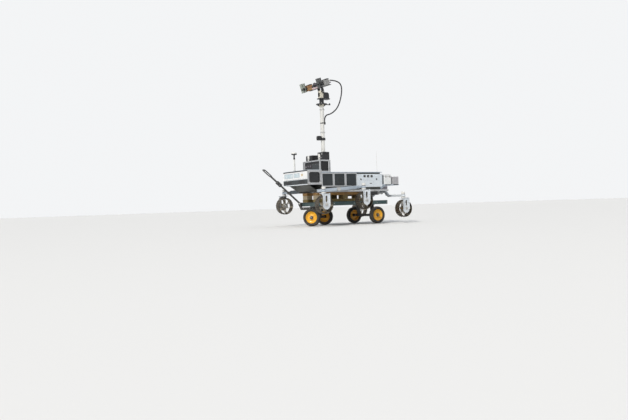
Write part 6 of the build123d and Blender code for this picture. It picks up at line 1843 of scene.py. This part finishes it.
def buildDrawbar(look):
    # bar along x, lifted by its angle at the root and turned with the front axle
    block, eye = look["block"], look["eye"]
    r, wide = look["radius"], block[2]
    parts = [turned([(r, 0.008), (r, 0.2), (r - 0.0005, 0.2005), (r - 0.0005, 0.2035), (r, 0.204),
            (r, look["length"] - 0.001), (r - 0.001, look["length"])], (0, 0, 0), xAxis, 36),
            turned([(0.0082, -0.016), (eye - 0.001, -0.016), (eye, -0.015), (eye, 0.015),
            (eye - 0.001, 0.016), (0.0082, 0.016)], (0, 0, 0), yAxis, 40, closed=True),
            slab(block[0], block[1], -wide, wide, -wide, wide, 0.007, 0.004, along=0, steps=5)]
    for s in (-1, 1):
        parts.append(bolts(gridOf((0.46, 0.52), s * wide, 0), (0, s, 0), 0.004, 1, height=0.0003))
    corners = np.array([(0.655, -0.015), (0.706, -0.056), (0.85, -0.056), (0.85, 0.056), (0.706, 0.056),
            (0.655, 0.015)])
    # handle: the straight runs joined by rounded corners, a weighted mean of the neighbours near each corner
    dense = np.concatenate([a + (b - a) * np.linspace(0, 1, 14)[:-1, None] for a,
            b in zip(corners[:-1], corners[1:])] + [corners[-1:]])
    for _ in range(8):
        dense[1:-1] = 0.25 * dense[:-2] + 0.5 * dense[1:-1] + 0.25 * dense[2:]
    path = np.column_stack([dense[:, 0], dense[:, 1], np.zeros(len(dense))])
    parts.append(swept(roundedLoop(0.009, 0.009, 0.0075, 5), path))
    grip = dense[np.abs(dense[:, 0] - dense[:, 0].max()) < 0.004]
    parts.append(swept(roundedLoop(0.0098, 0.0098, 0.0094, 6),
            np.column_stack([grip[:, 0] - 0.0006, grip[:, 1], np.zeros(len(grip))]), paint=2))
    lifted = moved(parts, turnMatrix("y", -look["lift"]), look["root"])
    addPiece("drawbar", moved(lifted, turnMatrix("z", cart["steer"]), (cart["pinX"], 0, 0)),
            "cartBlack boltZinc tyreRubber", body="drawbar")


# timber between the cart and the rover: long planks on blocks, two rows
timber = {"rear": -0.43, "front": 0.64, "near": 0.09, "far": 0.23, "low": (0.38, 0.425),
        "high": (0.485, 0.53), "blocks": (-0.3765, 0.105, 0.5865)}


def sawn(x0, x1, y0, y1, z0, z1, paint, seed):
    # sawn length: a rounded section along x whose width and height waver by under a millimetre
    random = np.random.default_rng(seed)
    count = 24 if x1 - x0 > 0.5 else 8
    stations = np.concatenate([[x0, x0 + 0.0008], np.linspace(x0 + 0.003, x1 - 0.003, count),
            [x1 - 0.0008, x1]])
    loop = roundedLoop((y1 - y0) / 2 - 0.0008, (z1 - z0) / 2 - 0.0004, 0.003)
    waver = np.stack([random.normal(0, 0.00022, (len(stations), len(loop))) for _ in range(2)], -1)
    waver = (waver + np.roll(waver, 1, 1) + np.roll(waver, -1, 1)) / 2
    inset = np.array([0.0016, 0.0006] + [0.0] * count + [0.0006, 0.0016])
    rows = [np.column_stack([np.full(len(loop), x), shifted(loop, -n) + np.clip(w, -0.0007, 0.0004)]) for x,
            n, w in zip(stations, inset, waver)]
    return surface(np.stack(rows) + [0, (y0 + y1) / 2, (z0 + z1) / 2], caps=(True, True), paint=paint)


def buildTimber(look):
    # a lower and an upper plank on each side, with three blocks between
    low, high = look["low"], look["high"]
    parts, seed = [], 4
    for side in (-1, 1):
        y0, y1 = sorted((side * look["near"], side * look["far"]))
        parts.append(sawn(look["rear"], look["front"], y0, y1, low[0] + 0.0004, low[1], 0, seed))
        parts.append(sawn(look["rear"], look["front"], y0, y1, high[0], high[1] - 0.0004, 1, seed + 1))
        # the front block takes the pale cream timber, which is painted sunlight
        for k, x in enumerate(look["blocks"]):
            parts.append(sawn(x - 0.05, x + 0.05, y0 + 0.002, y1 - 0.002, low[1] + 0.0002, high[0] - 0.0002,
                    2 if k == 2 else 0, seed + 2 + k))
        seed += 7
        parts.append(bolts([(x, side * y, high[1] - 0.0008) for x in (-0.39, -0.36, 0.1, 0.57, 0.6)
                for y in (0.125, 0.195)], zAxis, 0.003, 3, height=0.0008))
    addPiece("timberPacking", parts, "timberOlive timberOrange timberCream boltZinc")


buildCartFrame(cart)
buildAxles(cart)
buildCartWheels(cartWheel)
buildDrawbar(drawbar)
buildTimber(timber)
print("cart, drawbar and timber built")

print("pieces", pieceCount["pieces"], "triangles", pieceCount["triangles"])
